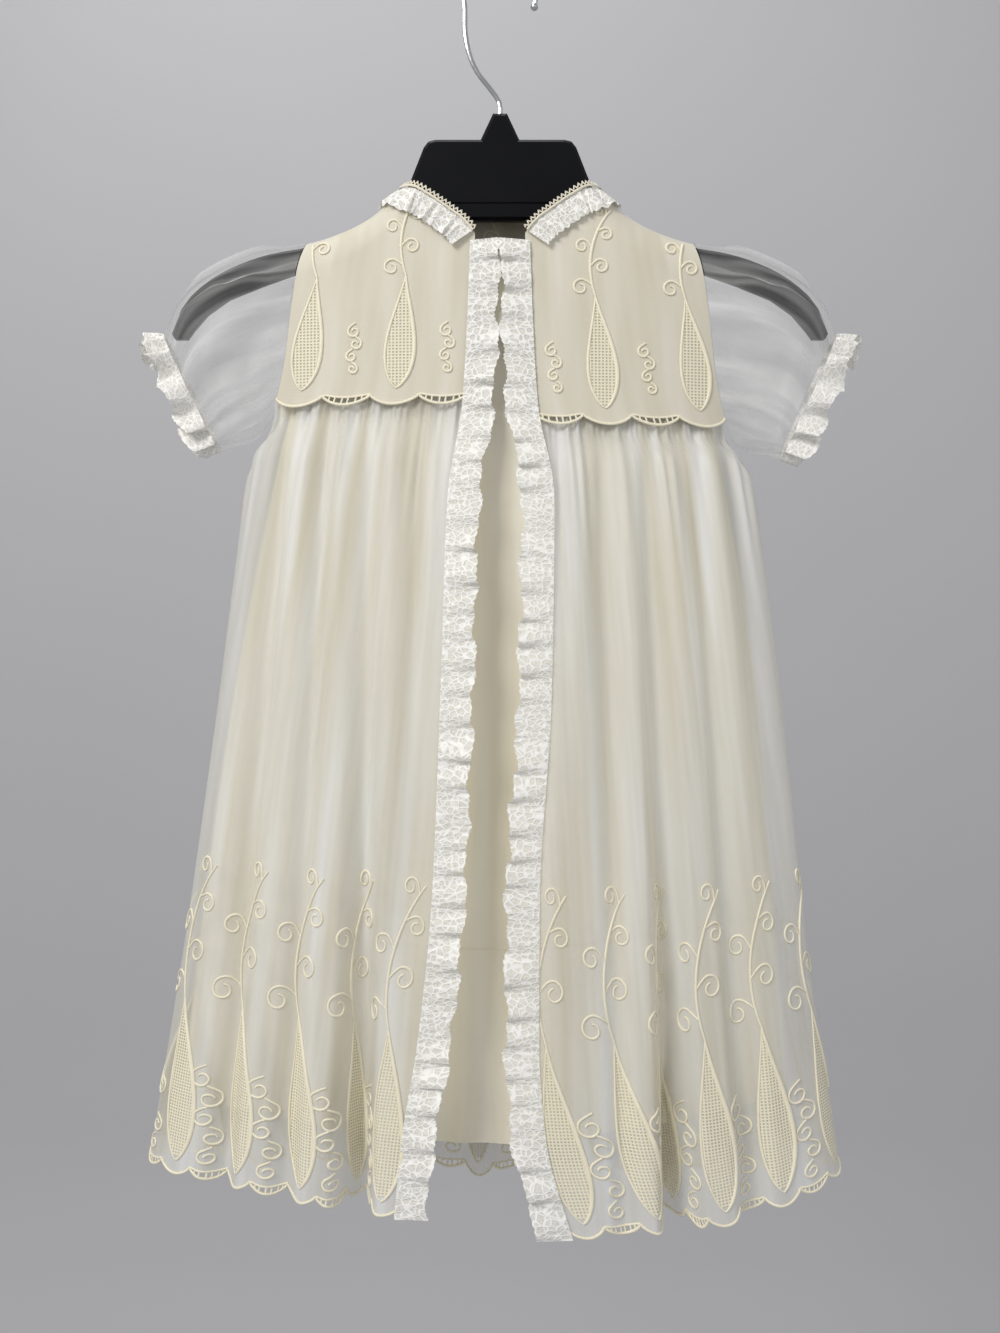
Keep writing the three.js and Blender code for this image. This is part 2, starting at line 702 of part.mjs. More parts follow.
const LACE_WAVES = 33;
for (const [hand, word] of [[LEFT, "left"], [RIGHT, "right"]]) {
  const topZ = -186;
  const bottomZ = hand === LEFT ? -794 : -806;
  const onPanel = 3;
  const place = (u, v, lift) => {
    const z = lerp(topZ, bottomZ, u);
    const x = lerp(opening(z, word) + hand * onPanel, opening(z, `${word}Lace`), v);
    return chest(x, z, FRONT, lift);
  };
  add(
    `front_lace_${word}`,
    wall({
      columns: LACE_WAVES * 3,
      rows: 1,
      surface: (u, v) => {
        const wave = (1 - Math.cos(2 * Math.PI * LACE_WAVES * u)) * lerp(0.2, 2.4, v);
        return place(u, v, SEAM + LACE + wave);
      },
      inside: (u, v) => place(u, v, -20),
      thickness: LACE,
    }),
    COLOUR.lace,
    0.8,
  );
}

// Hanger: plate, boss and arms in one moulding, with a ridge across the plate
function hangerOutline() {
  const half = [
    [4.5, -98],
    [12.5, -115],
    [42, -115],
    [46.5, -116.2],
    [49.5, -120],
  ];
  const reach = ARM_TOP[ARM_TOP.length - 1].x;
  const steps = 22;
  for (let i = 0; i <= steps; i += 1) {
    const x = lerp(ARM_TOP[0].x, reach, (i / steps) ** 0.9);
    half.push([x, along(ARM_TOP, "x", x, "z")]);
  }
  half.push([211, -244.5], [203, -244.5]);
  for (const row of ARM_UNDER) half.push([row.x, row.z]);
  const mirrored = [...half].reverse().map(([x, z]) => [-x, z]);
  return new THREE.Shape([...half, ...mirrored].map(([x, z]) => new THREE.Vector2(x, z)));
}

const HANGER = { thick: 8.6, bevel: 2, ridgeZ: -155.7, ridgeHalf: 43, ridgeTall: 1.6, ridgeProud: 1 };
const HOOK = { wire: 1.6, radius: 23.4, x: -0.3, z: -21.8, tip: 2.6 };

function solid(geometry) {
  const merged = closed(geometry);
  return new wasm.Manifold(
    new wasm.Mesh({
      numProp: 3,
      vertProperties: new Float32Array(merged.attributes.position.array),
      triVerts: new Uint32Array(merged.index.array),
    }),
  );
}

function geometryOf(manifold) {
  const mesh = manifold.getMesh();
  const geometry = new THREE.BufferGeometry();
  geometry.setAttribute("position", new THREE.BufferAttribute(new Float32Array(mesh.vertProperties), 3));
  geometry.setIndex(new THREE.BufferAttribute(new Uint32Array(mesh.triVerts), 1));
  return geometry;
}

const moulding = new THREE.ExtrudeGeometry(hangerOutline(), {
  depth: HANGER.thick - 2 * HANGER.bevel,
  bevelThickness: HANGER.bevel,
  bevelSize: HANGER.bevel,
  bevelOffset: -HANGER.bevel,
  bevelSegments: 1,
});
moulding.rotateX(Math.PI / 2);
moulding.translate(0, HANGER.thick / 2 - HANGER.bevel, 0);
const ridgeDeep = HANGER.thick + 2 * HANGER.ridgeProud;
const ridgeBar = new THREE.BoxGeometry(2 * HANGER.ridgeHalf, ridgeDeep, HANGER.ridgeTall);
ridgeBar.translate(0, 0, HANGER.ridgeZ);
add("hanger_body", geometryOf(solid(moulding).add(solid(ridgeBar))), COLOUR.plastic, 0.35);

// Hook: up from the boss, out to the left and over in a round loop to a balled tip
const wirePath = [
  [0, -97.6],
  [-0.5, -90],
  [-6.5, -81],
  [-14.3, -71],
  [-19.5, -60],
  [-22.6, -45],
];
for (let degrees = 195; degrees >= -15; degrees -= 15) {
  const angle = THREE.MathUtils.degToRad(degrees);
  wirePath.push([HOOK.x + HOOK.radius * Math.cos(angle), HOOK.z + HOOK.radius * Math.sin(angle)]);
}
const wireCurve = new THREE.CatmullRomCurve3(wirePath.map(([x, z]) => new THREE.Vector3(x, 0, z)));
const wireSection = new THREE.Shape().absarc(0, 0, HOOK.wire, 0, 2 * Math.PI);
const wire = new THREE.ExtrudeGeometry(wireSection, { extrudePath: wireCurve, steps: 40, curveSegments: 4 });
const ball = new THREE.SphereGeometry(HOOK.tip, 8, 6);
const wireEnd = wireCurve.getPoint(1);
ball.translate(wireEnd.x, wireEnd.y, wireEnd.z);
add("hanger_hook", geometryOf(solid(wire).add(solid(ball))), COLOUR.steel, 0.2, 1);

export default group;
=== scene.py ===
import math

import bmesh
import bpy
import numpy as np
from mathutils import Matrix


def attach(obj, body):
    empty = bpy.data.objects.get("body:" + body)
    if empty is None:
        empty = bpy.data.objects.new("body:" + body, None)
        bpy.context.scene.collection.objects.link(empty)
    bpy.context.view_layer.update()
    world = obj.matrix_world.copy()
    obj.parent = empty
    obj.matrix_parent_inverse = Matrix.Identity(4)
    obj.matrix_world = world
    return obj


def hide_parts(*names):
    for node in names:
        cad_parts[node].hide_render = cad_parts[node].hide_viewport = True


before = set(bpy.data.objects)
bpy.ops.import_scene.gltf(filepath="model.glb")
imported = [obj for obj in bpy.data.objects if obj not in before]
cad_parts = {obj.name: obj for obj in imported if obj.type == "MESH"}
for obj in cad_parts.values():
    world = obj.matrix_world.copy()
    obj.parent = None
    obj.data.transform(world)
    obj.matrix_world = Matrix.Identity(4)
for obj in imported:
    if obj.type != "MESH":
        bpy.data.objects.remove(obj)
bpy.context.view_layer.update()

MM = 0.001
LEFT, RIGHT = -1, 1
FRONT, BACK = -1, 1
WORD = {LEFT: "left", RIGHT: "right"}

SEAM = 0.3
CLOTH = 1.2
LACE = 1.0
LACE_WIDTH = 16
SCALLOP_WIDTH = 24
HEM_SCALLOP = 6.5
YOKE_SCALLOP = 6
SHOULDER_FALL = 22
ARM_REST = 2.5
NECK_CORNER = 66.5
NECK_RISE = 0.82


def table(columns, *rows):
    """A table as named columns of numbers."""
    return {name: np.array(values, float) for name, values in zip(columns.split(), zip(*rows))}


ARM_TOP = table(
    "x z",
    (60.5, -148), (66.5, -153.5), (86.5, -170), (104, -178.5), (121, -184),
    (150, -189.5), (176, -199), (197, -213), (208, -227), (213, -241),
)
BODY = table(
    "z left right front back",
    (-140, -174, 174, 19, 15),
    (-200, -161, 161, 23, 20),
    (-260, -156, 156, 25, 23),
    (-297, -151.5, 152, 27, 25),
    (-309, -155.5, 151, 29, 27),
    (-325, -162.5, 161.5, 34, 30),
    (-385, -171, 171.5, 42, 35),
    (-506, -186.6, 186, 50, 41),
    (-626, -203.5, 198, 56, 46),
    (-720, -218.4, 211, 61, 49),
    (-810, -233, 225, 66, 52),
)
SLIP_BODY = table(
    "z left right front back",
    (-190, -114, 114, 20.6, 18),
    (-205, -118, 118, 21.2, 18.4),
    (-250, -127, 127, 20, 17),
    (-282, -133, 132, 15.5, 13.5),
    (-315, -142, 141, 15.5, 13.5),
    (-506, -178, 172, 18, 18),
    (-626, -194, 180, 21, 23),
    (-780, -212, 190, 23, 26),
)
OPENING = table(
    "z left leftLace rightLace right",
    (-184, -16, -1.5, 1.5, 16),
    (-240, -18, -2, 2, 18),
    (-290, -21, -4.5, 4.5, 21),
    (-352, -30, -13.5, 14, 31),
    (-475, -34, -17.5, 12, 29),
    (-600, -39, -22.5, 4.5, 21.5),
    (-690, -48, -31, 4, 21),
    (-745, -57, -40.5, 8, 25),
    (-808, -63, -46.5, 25, 42),
)
ARMHOLE = table("share x", (0, 125), (0.15, 130), (0.4, 134.5), (0.65, 138), (0.85, 143), (1, 150.5))
SHOULDER_Z = -183
UNDERARM = {LEFT: -297, RIGHT: -309}
YOKE_SEAM = {LEFT: -284, RIGHT: -297}
BACK_YOKE_SEAM = -288
FRONT_NECKLINE = table(
    "x z", (0, -191), (14, -183), (21, -174.5), (27, -169), (60, -151), (NECK_CORNER, -151.2)
)
BACK_NECK_Z = -151.2
FRONT_HEM = table(
    "x z",
    (-233, -769), (-160, -776), (-110, -783), (-60, -787), (42, -799), (120, -798), (170, -790), (225, -776),
)
BACK_HEM = table("x z", (-233, -769), (-150, -783), (0, -793), (150, -788), (225, -776))
SLIP_HEM = table("x z", (-212, -735), (0, -761), (190, -733))

# The folds of each panel, from the seam to the hem. A minus depth is a ridge.
FRONT_FOLDS = table(
    "top hem topHalf hemHalf topDepth hemDepth",
    (-133, -176, 9, 15, 1, 9),
    (-107, -134, 10, 14, 1, 8),
    (-80, -91, 12, 17, 1, 34),
    (60, 77, 12, 13, 1, 4),
    (92, 113, 12, 17, 1, 40),
    (126, 160, 10, 16, 1, 11),
)
BACK_FOLDS = table(
    "top hem topHalf hemHalf topDepth hemDepth",
    (-110, -165, 12, 20, 1, 13),
    (-62, -92, 13, 22, 1, 18),
    (-8, -12, 13, 20, 1, 15),
    (48, 70, 13, 22, 1, 19),
    (104, 150, 12, 20, 1, 13),
)
SLIP_FRONT_FOLDS = table(
    "top hem topHalf hemHalf topDepth hemDepth",
    (-40, -66, 14, 22, 0, 4),
    (2, -12, 12, 22, 0, 5),
    (50, 74, 14, 24, 0, 4),
)
NO_FOLDS = table("top hem topHalf hemHalf topDepth hemDepth", (0, 0, 1, 1, 0, 0))
FOLD_POWER = 2

# Soft creases of the cloth: x at the seam and at the hem, the share of the height that it reaches
# down, its half width and its depth. A minus depth is a ridge.
FRONT_CREASES = table(
    "top low reach half depth",
    (-146, -208, 0.95, 5.5, -2.6),
    (-134, -180, 1.0, 4.5, 3.2),
    (-121, -158, 0.75, 5.5, -2.8),
    (-109, -137, 1.0, 4.5, 3.4),
    (-98, -113, 0.6, 5.0, -2.6),
    (-83, -93, 1.0, 5.0, 3.2),
    (-66, -74, 0.85, 6.5, -3.0),
    (-51, -64, 0.55, 4.0, 2.8),
    (-40, -55, 0.4, 4.0, -2.0),
    (35, 54, 0.45, 3.8, 2.4),
    (47, 62, 0.9, 6.5, -3.0),
    (62, 79, 1.0, 4.5, 3.0),
    (77, 95, 0.6, 5.5, -2.8),
    (91, 113, 1.0, 4.5, 3.4),
    (105, 134, 0.75, 6.0, -2.6),
    (120, 158, 1.0, 4.5, 3.2),
    (133, 180, 0.55, 5.0, -2.6),
    (144, 202, 0.9, 4.5, 2.6),
)
BACK_CREASES = table(
    "top low reach half depth",
    (-141, -200, 0.9, 5.0, -2.4),
    (-127, -184, 0.6, 4.5, 2.6),
    (-109, -165, 1.0, 5.0, 3.0),
    (-96, -140, 0.5, 5.5, -2.6),
    (-79, -118, 0.8, 4.5, 2.6),
    (-62, -92, 1.0, 5.0, 3.0),
    (-47, -66, 0.55, 6.0, -2.8),
    (-27, -40, 0.75, 4.5, 2.4),
    (-8, -12, 1.0, 5.0, 3.0),
    (9, 15, 0.5, 6.0, -2.6),
    (29, 42, 0.85, 5.0, 2.8),
    (48, 70, 1.0, 5.0, 3.0),
    (64, 94, 0.45, 5.5, -2.8),
    (84, 120, 0.7, 4.5, 2.6),
    (104, 150, 1.0, 5.0, 3.0),
    (121, 172, 0.55, 5.5, -2.4),
    (138, 198, 0.85, 4.5, 2.6),
)
SLIP_CREASES = table(
    "top low reach half depth",
    (-84, -132, 1.0, 9.0, 1.6),
    (-52, -78, 0.8, 7.0, -1.4),
    (-15, -33, 1.0, 4.0, 2.6),
    (-6, -20, 1.0, 7.0, -1.4),
    (46, 70, 0.9, 9.0, 1.5),
    (80, 118, 1.0, 8.0, -1.4),
)


def lerp(low, high, share):
    return low + (high - low) * share


def smooth(at, low, high):
    share = np.clip((at - low) / (high - low), 0, 1)
    return share * share * (3 - 2 * share)


def xyz(x, y, z):
    return np.stack(np.broadcast_arrays(x, y, z), axis=-1).astype(float)


def unit(vectors):
    return vectors / np.maximum(np.linalg.norm(vectors, axis=-1, keepdims=True), 1e-9)


def along(rows, key, at, column):
    """Value of one column where another has the given number, on a smooth curve through the rows."""
    places, values = rows[key], rows[column]
    if places[0] > places[-1]:
        places, values = places[::-1], values[::-1]
    at = np.clip(at, places[0], places[-1])
    i = np.clip(np.searchsorted(places, at, side="left") - 1, 0, len(places) - 2)
    span = np.diff(places)
    step = np.diff(values) / span
    slope = np.concatenate([step[:1], np.zeros(len(step) - 1), step[-1:]])
    before, after = step[:-1], step[1:]
    same = before * after > 0
    slope[1:-1][same] = 2 * before[same] * after[same] / (before[same] + after[same])
    t = (at - places[i]) / span[i]
    hold = (1 + 2 * t) * (1 - t) ** 2
    bend = span[i] * t * (1 - t) * ((1 - t) * slope[i] - t * slope[i + 1])
    return hold * values[i] + (1 - hold) * values[i + 1] + bend


def ridge(x):
    """Top of the cloth over the hanger's arm. Inside the neck the line runs on upwards."""
    away = np.abs(x)
    corner = along(ARM_TOP, "x", NECK_CORNER, "z") + ARM_REST
    arm = along(ARM_TOP, "x", np.maximum(away, NECK_CORNER), "z") + ARM_REST
    return np.where(away >= NECK_CORNER, arm, corner + (NECK_CORNER - away) * NECK_RISE)


def girth(rows, z, side):
    """Middle, half width and depth of a hanging tube at a height."""
    left, right = along(rows, "z", z, "left"), along(rows, "z", z, "right")
    depth = np.where(np.asarray(side) < 0, along(rows, "z", z, "front"), along(rows, "z", z, "back"))
    return (left + right) / 2, (right - left) / 2, depth


def chest(x, z, side, lift=0.0):
    """Point of the upper body over x at height z, lifted off the cloth."""
    middle, half, deep = girth(BODY, z, side)
    across = np.clip((x - middle) / half, -1, 1)
    depth = deep * np.sqrt(1 - across**2) + lift
    drop = np.maximum(0, ridge(x) + lift - z)
    over = np.minimum(1, drop / SHOULDER_FALL)
    return xyz(x, side * (depth * np.sqrt(1 - (1 - over) ** 2) + SEAM / 2), z)


def armhole(z, hand):
    share = (SHOULDER_Z - z) / (SHOULDER_Z - UNDERARM[hand])
    return along(ARMHOLE, "share", share, "x")


def scallop(count):
    """Share of a scallop's depth at a place counted in scallops."""
    return np.abs(np.sin(np.pi * count)) ** 0.7


def opening(z, column):
    return along(OPENING, "z", z, column)


def crease_depth(creases, x, v):
    """Push inwards of the soft creases at x and a share v of the way down."""
    depth = np.zeros(np.broadcast(x, v).shape)
    for top, low, reach, half, deep in zip(*(creases[k] for k in ("top", "low", "reach", "half", "depth"))):
        sway = 1.5 * np.sin(7 * v + top)
        offset = (x - lerp(top, low, v) - sway * v) / (half * (1 + 0.9 * v))
        fade = (1 - smooth(v, reach * 0.45, reach)) if reach < 1 else 1
        depth = depth + deep * np.exp(-(offset**2)) * fade
    return depth


def fold_depth(folds, x, v):
    depth = np.zeros(np.broadcast(x, v).shape)
    names = ("top", "hem", "topHalf", "hemHalf", "topDepth", "hemDepth")
    for top, hem, top_half, hem_half, top_depth, hem_depth in zip(*(folds[k] for k in names)):
        offset = (x - lerp(top, hem, v)) / lerp(top_half, hem_half, v)
        deep = lerp(top_depth, hem_depth, np.maximum(v, 0) ** FOLD_POWER)
        depth = depth + np.where(np.abs(offset) < 1, deep * (1 + np.cos(np.pi * offset)) / 2, 0)
    return depth


def around(rows, angle, z, side, push):
    """Point of a hanging tube at an angle from its left side, pushed in by a depth."""
    middle, half, deep = girth(rows, z, side)
    wide, out = -np.cos(angle), np.sin(angle)
    normal = unit(np.stack(np.broadcast_arrays(wide / half, out / deep), axis=-1))
    return xyz(
        middle + half * wide - push * normal[..., 0],
        side * (deep * out - push * normal[..., 1] + SEAM / 2),
        z,
    )


def angle_at(rows, x, z):
    middle, half, _ = girth(rows, z, FRONT)
    return np.arccos(np.clip((middle - x) / half, -1, 1))


class Panel:
    """A panel of a hanging tube. u runs across it and v down it, from 0 to 1. Its cloth is spread
    evenly in u, so that folds take up their own share of it."""

    FINE = 360
    LEVELS = 120

    def __init__(self, rows, side, start, end, top, hem, folds, creases, crimp=0.0, gathers=0, inset=0.0):
        self.rows, self.side, self.start, self.end = rows, side, start, end
        self.top, self.hem, self.folds, self.creases = top, hem, folds, creases
        self.crimp, self.gathers, self.inset = crimp, gathers, inset
        self.first_top, self.last_hem = float(top(0.5)), float(hem(0.0))
        levels = np.linspace(0, 1, self.LEVELS + 1)[:, None]
        shares = np.linspace(0, 1, self.FINE + 1)[None, :]
        z = lerp(self.first_top, self.last_hem, levels)
        line = self.bare(shares, z, levels, 0)
        steps = np.linalg.norm(np.diff(line, axis=1), axis=2)
        lengths = np.concatenate([np.zeros((len(levels), 1)), np.cumsum(steps, axis=1)], axis=1)
        self.widths = lengths[:, -1]
        self.top_ends, self.hem_ends = line[0, [0, -1], 0], line[-1, [0, -1], 0]
        even = np.linspace(0, 1, self.FINE + 1)
        self.shares = np.array([np.interp(even, row / row[-1], even) for row in lengths])

    def bare(self, p, z, v, extra):
        angle = lerp(self.start(z), self.end(z), p)
        x = around(self.rows, angle, z, self.side, 0)[..., 0]
        fade = smooth(p, 0, 0.08) * (1 - smooth(p, 0.92, 1))
        push = fold_depth(self.folds, x, v) * fade + self.inset * (1 - smooth(v, 0.03, 0.09))
        return around(self.rows, angle, z, self.side, push + extra)

    def share(self, u, v):
        across = np.clip(u, 0, 1) * self.FINE
        down = np.clip(v, 0, 1) * self.LEVELS
        c = np.minimum(across.astype(int), self.FINE - 1)
        r = np.minimum(down.astype(int), self.LEVELS - 1)
        fc, fr = across - c, down - r
        grid = self.shares
        upper = lerp(grid[r, c], grid[r, c + 1], fc)
        lower = lerp(grid[r + 1, c], grid[r + 1, c + 1], fc)
        return lerp(upper, lower, fr)

    def across(self, u, v):
        """The bare panel's x there."""
        level = lerp(self.first_top, self.last_hem, v)
        angle = lerp(self.start(level), self.end(level), self.share(u, v))
        return around(self.rows, angle, level, self.side, 0)[..., 0]

    def fall(self, u, v):
        """Share of the width on lines that hang straight from the seam to the hem."""
        first, last = (lerp(self.top_ends[i], self.hem_ends[i], v) for i in (0, 1))
        return (self.across(u, v) - first) / (last - first)

    def point(self, u, v):
        u, v = np.broadcast_arrays(np.asarray(u, float), np.asarray(v, float))
        p, x, fall = self.share(u, v), self.across(u, v), self.fall(u, v)
        calm = smooth(u, 0, 0.04) * (1 - smooth(u, 0.96, 1))
        wander = 0.3 * np.sin(2 * np.pi * 2.3 * fall + 1) + 0.2 * np.sin(2 * np.pi * 5.1 * fall)
        coarse = np.cos(2 * np.pi * (self.gathers * fall + wander)) * (1 - smooth(v, 0, 0.24))
        fine = 0.4 * np.cos(2 * np.pi * (2.7 * self.gathers * fall - wander)) * (1 - smooth(v, 0.01, 0.09))
        creased = crease_depth(self.creases, x, v) * smooth(v, 0.02, 0.1)
        extra = (self.crimp * (coarse + fine) + creased) * calm
        z = lerp(self.top(u), self.hem(x), v)
        return self.bare(p, z, np.clip(v, 0, 1.02), extra)

    def lifted(self, u, v, lift):
        """Points at a height over the cloth's outer face."""
        step = 0.002
        here = self.point(u, v)
        wide = self.point(np.minimum(u + step, 1), v) - self.point(np.maximum(u - step, 0), v)
        high = self.point(u, v + step) - here
        normal = unit(np.cross(wide, high))
        outwards = np.sign(normal[..., 1:2]) * self.side
        return here + normal * np.where(outwards == 0, 1, outwards) * np.asarray(lift)[..., None]


def skirt_top(seam, underarm):
    return lambda u: lerp(underarm - 1, seam + 7, smooth(u, 0, 0.07))


def back_top(u):
    rise = lerp(UNDERARM[LEFT] - 1, BACK_YOKE_SEAM + 7, smooth(u, 0, 0.04))
    return lerp(UNDERARM[RIGHT] - 1, rise, smooth(1 - u, 0, 0.04))


def hem_line(rows):
    return lambda x: along(rows, "x", x, "z")


SKIRT_INSET = CLOTH + SEAM + 2.1
GATHER_DEPTH = 1.5
FRONT_SCALLOPS = {LEFT: 10, RIGHT: 11}
BACK_SCALLOPS = 22


def front_panel(hand):
    word = WORD[hand]
    return Panel(
        BODY, FRONT,
        start=lambda z: 0.0 if hand == LEFT else np.pi,
        end=lambda z: angle_at(BODY, opening(z, word), z),
        top=skirt_top(YOKE_SEAM[hand], UNDERARM[hand]), hem=hem_line(FRONT_HEM),
        folds=FRONT_FOLDS, creases=FRONT_CREASES,
        crimp=GATHER_DEPTH, gathers=FRONT_SCALLOPS[hand], inset=SKIRT_INSET,
    )


def back_panel():
    return Panel(
        BODY, BACK, start=lambda z: 0.0, end=lambda z: np.pi, top=back_top, hem=hem_line(BACK_HEM),
        folds=BACK_FOLDS, creases=BACK_CREASES,
        crimp=GATHER_DEPTH, gathers=BACK_SCALLOPS, inset=SKIRT_INSET,
    )


def slip_panel(side):
    return Panel(
        SLIP_BODY, side, start=lambda z: 0.0, end=lambda z: np.pi,
        top=lambda u: -205.0 + 0 * u, hem=hem_line(SLIP_HEM),
        folds=SLIP_FRONT_FOLDS if side == FRONT else NO_FOLDS, creases=SLIP_CREASES,
    )


def yoke_top(x, side):
    neck = BACK_NECK_Z if side == BACK else along(FRONT_NECKLINE, "x", np.abs(x), "z")
    return np.where(np.abs(x) >= NECK_CORNER, ridge(x), np.minimum(ridge(x), neck))


def yoke_point(side, first, last, seam, scallops):
    """The yoke between the lines first(z) and last(z), as a function of u and v."""
    def point(u, v):
        z = SHOULDER_Z + 0 * u
        for _ in range(8):
            z = yoke_top(lerp(first(z), last(z), u), side)
        low = seam - YOKE_SCALLOP * scallop(u * scallops) * smooth(v, 0.9, 1)
        level = lerp(z, low, v)
        return chest(lerp(first(level), last(level), u), level, side)
    return point


SLEEVE = table(
    "share topX topZ lowX fall depth",
    (0, 125, -183.5, 151, 0, 14),
    (0.25, 151, -186, 157, 0.55, 21),
    (0.5, 177, -195.5, 165, 0.75, 27),
    (0.75, 200.5, -210.5, 174, 0.88, 24),
    (0.9, 212.5, -227, 179, 0.95, 18),
    (1, 217.5, -242, 182, 1, 14.5),
)
CUFF_LOW_Z = {LEFT: -316, RIGHT: -321}
CUFF_DROOP = 0.6
SLEEVE_GAP = 0.5
CUFF_GATHERS = 12
BOXY = 2.6  # above 2, an oval with fuller corners


def rounded(value):
    return np.sign(value) * np.abs(value) ** (2 / BOXY)


def sleeve_point(hand, turn, share, push):
    """Point of the sleeve, a share of the way round from its top over the front."""
    turn, share, push = np.broadcast_arrays(*(np.asarray(a, float) for a in (turn, share, push)))
    value = {name: along(SLEEVE, "share", share, name) for name in ("topX", "topZ", "lowX", "fall", "depth")}
    height, across = rounded(np.cos(2 * np.pi * turn)), rounded(np.sin(2 * np.pi * turn))
    high = xyz(hand * value["topX"], 0, value["topZ"])
    low = xyz(hand * value["lowX"], 0, lerp(UNDERARM[hand], CUFF_LOW_Z[hand], value["fall"]))
    reach = (high - low) / 2
    longer = 1 + push / np.linalg.norm(reach, axis=-1)
    puffed = (high + low) / 2 + reach * (height * longer)[..., None]
    puffed[..., 1] = -across * (value["depth"] + push)
    z = lerp(UNDERARM[hand], SHOULDER_Z, (height + 1) / 2)
    sewn = chest(hand * armhole(z, hand), z, np.where(across > 0, FRONT, BACK))
    sewn[..., 0] += hand * SLEEVE_GAP
    sewn[..., 1] = np.where(np.abs(across) < 1e-6, 0, sewn[..., 1])
    sewn[..., 2] = lerp(UNDERARM[hand] - 0.5, ridge(armhole(SHOULDER_Z, hand)), (height + 1) / 2)
    return lerp(sewn, puffed, smooth(share, 0, 0.2)[..., None])


# Soft folds of a sleeve: place round it, where along it each starts and ends, half width and depth
SLEEVE_FOLDS = table(
    "turn start end lean half depth",
    (0.05, 0.10, 0.80, 0.02, 0.018, -3.4),
    (0.11, 0.05, 0.60, 0.05, 0.016, 3.6),
    (0.17, 0.20, 1.00, -0.02, 0.020, -4.0),
    (0.23, 0.02, 0.75, 0.06, 0.018, 4.2),
    (0.29, 0.30, 1.00, -0.04, 0.017, -3.8),
    (0.35, 0.05, 0.85, 0.03, 0.020, 4.4),
    (0.42, 0.15, 0.95, -0.03, 0.017, -3.6),
    (0.57, 0.10, 0.90, 0.03, 0.019, 3.8),
    (0.66, 0.20, 1.00, -0.03, 0.018, -3.6),
    (0.75, 0.05, 0.80, 0.04, 0.020, 4.0),
    (0.84, 0.25, 1.00, -0.02, 0.018, -3.6),
    (0.93, 0.05, 0.70, 0.02, 0.018, 3.2),
)


def sleeve_folds(turn, share):
    depth = np.zeros(np.broadcast(turn, share).shape)
    for place, start, end, lean, half, deep in zip(*(SLEEVE_FOLDS[k] for k in SLEEVE_FOLDS)):
        across = (turn - place - lean * share + 0.5) % 1 - 0.5
        fade = smooth(share, start, start + 0.2) * (1 - smooth(share, end - 0.15, end + 0.01))
        depth = depth - deep * np.exp(-((across / half) ** 2)) * fade
    return depth


def sleeve_cloth(hand):
    def point(u, v):
        gather = 1.6 * np.cos(2 * np.pi * CUFF_GATHERS * u) * smooth(v, 0.6, 1)
        crimp = 0.8 * np.cos(2 * np.pi * 31 * u + 1) * (1 - smooth(v, 0.02, 0.25)) * smooth(v, 0, 0.02)
        return sleeve_point(hand, u, v, gather + crimp + sleeve_folds(u, v))
    return point


def cuff_lace(hand):
    def point(u, v):
        ring = 2 * np.pi * CUFF_GATHERS * u
        outwards = unit(xyz(hand, 0, -CUFF_DROOP * (1 + np.cos(2 * np.pi * u)) / 2))
        radial = unit(sleeve_point(hand, u, 1, 1) - sleeve_point(hand, u, 1, 0))
        edge = sleeve_point(hand, u, 1, 1.6 * np.cos(ring))
        uneven = 1 + 0.3 * np.sin(2 * np.pi * 5 * u + 2)
        wave = 6.4 * v**0.7 * uneven * np.cos(ring + 0.7 * np.sin(2 * np.pi * 3 * u + hand))
        curl = -3.2 * v * np.sin(ring + 0.7) * uneven
        picot = 0.7 * np.abs(np.sin(2 * np.pi * 5 * CUFF_GATHERS * u)) * smooth(v, 0.85, 1)
        out = 0.5 + (LACE_WIDTH - 0.5) * v + picot + curl * v
        return edge + outwards * out[..., None] + radial * wave[..., None]
    return point


def half_neck(side, start, round_off, rest):
    """Half of the neckline, from a centre to the shoulder, closer set where it rounds off."""
    drops = SHOULDER_FALL * (1 - np.cos(np.pi / 2 * np.arange(round_off) / round_off))
    near, far = np.full(round_off, float(start)), np.full(round_off, float(NECK_CORNER))
    for _ in range(30):
        middle = (near + far) / 2
        deeper = ridge(middle) - yoke_top(middle, side) > drops
        near, far = np.where(deeper, middle, near), np.where(deeper, far, middle)
    xs = np.concatenate([(near + far) / 2, lerp(far[-1], start, np.arange(1, rest + 1) / rest)])[::-1]
    return np.stack([xs, yoke_top(xs, side), np.full(len(xs), side)], axis=1)


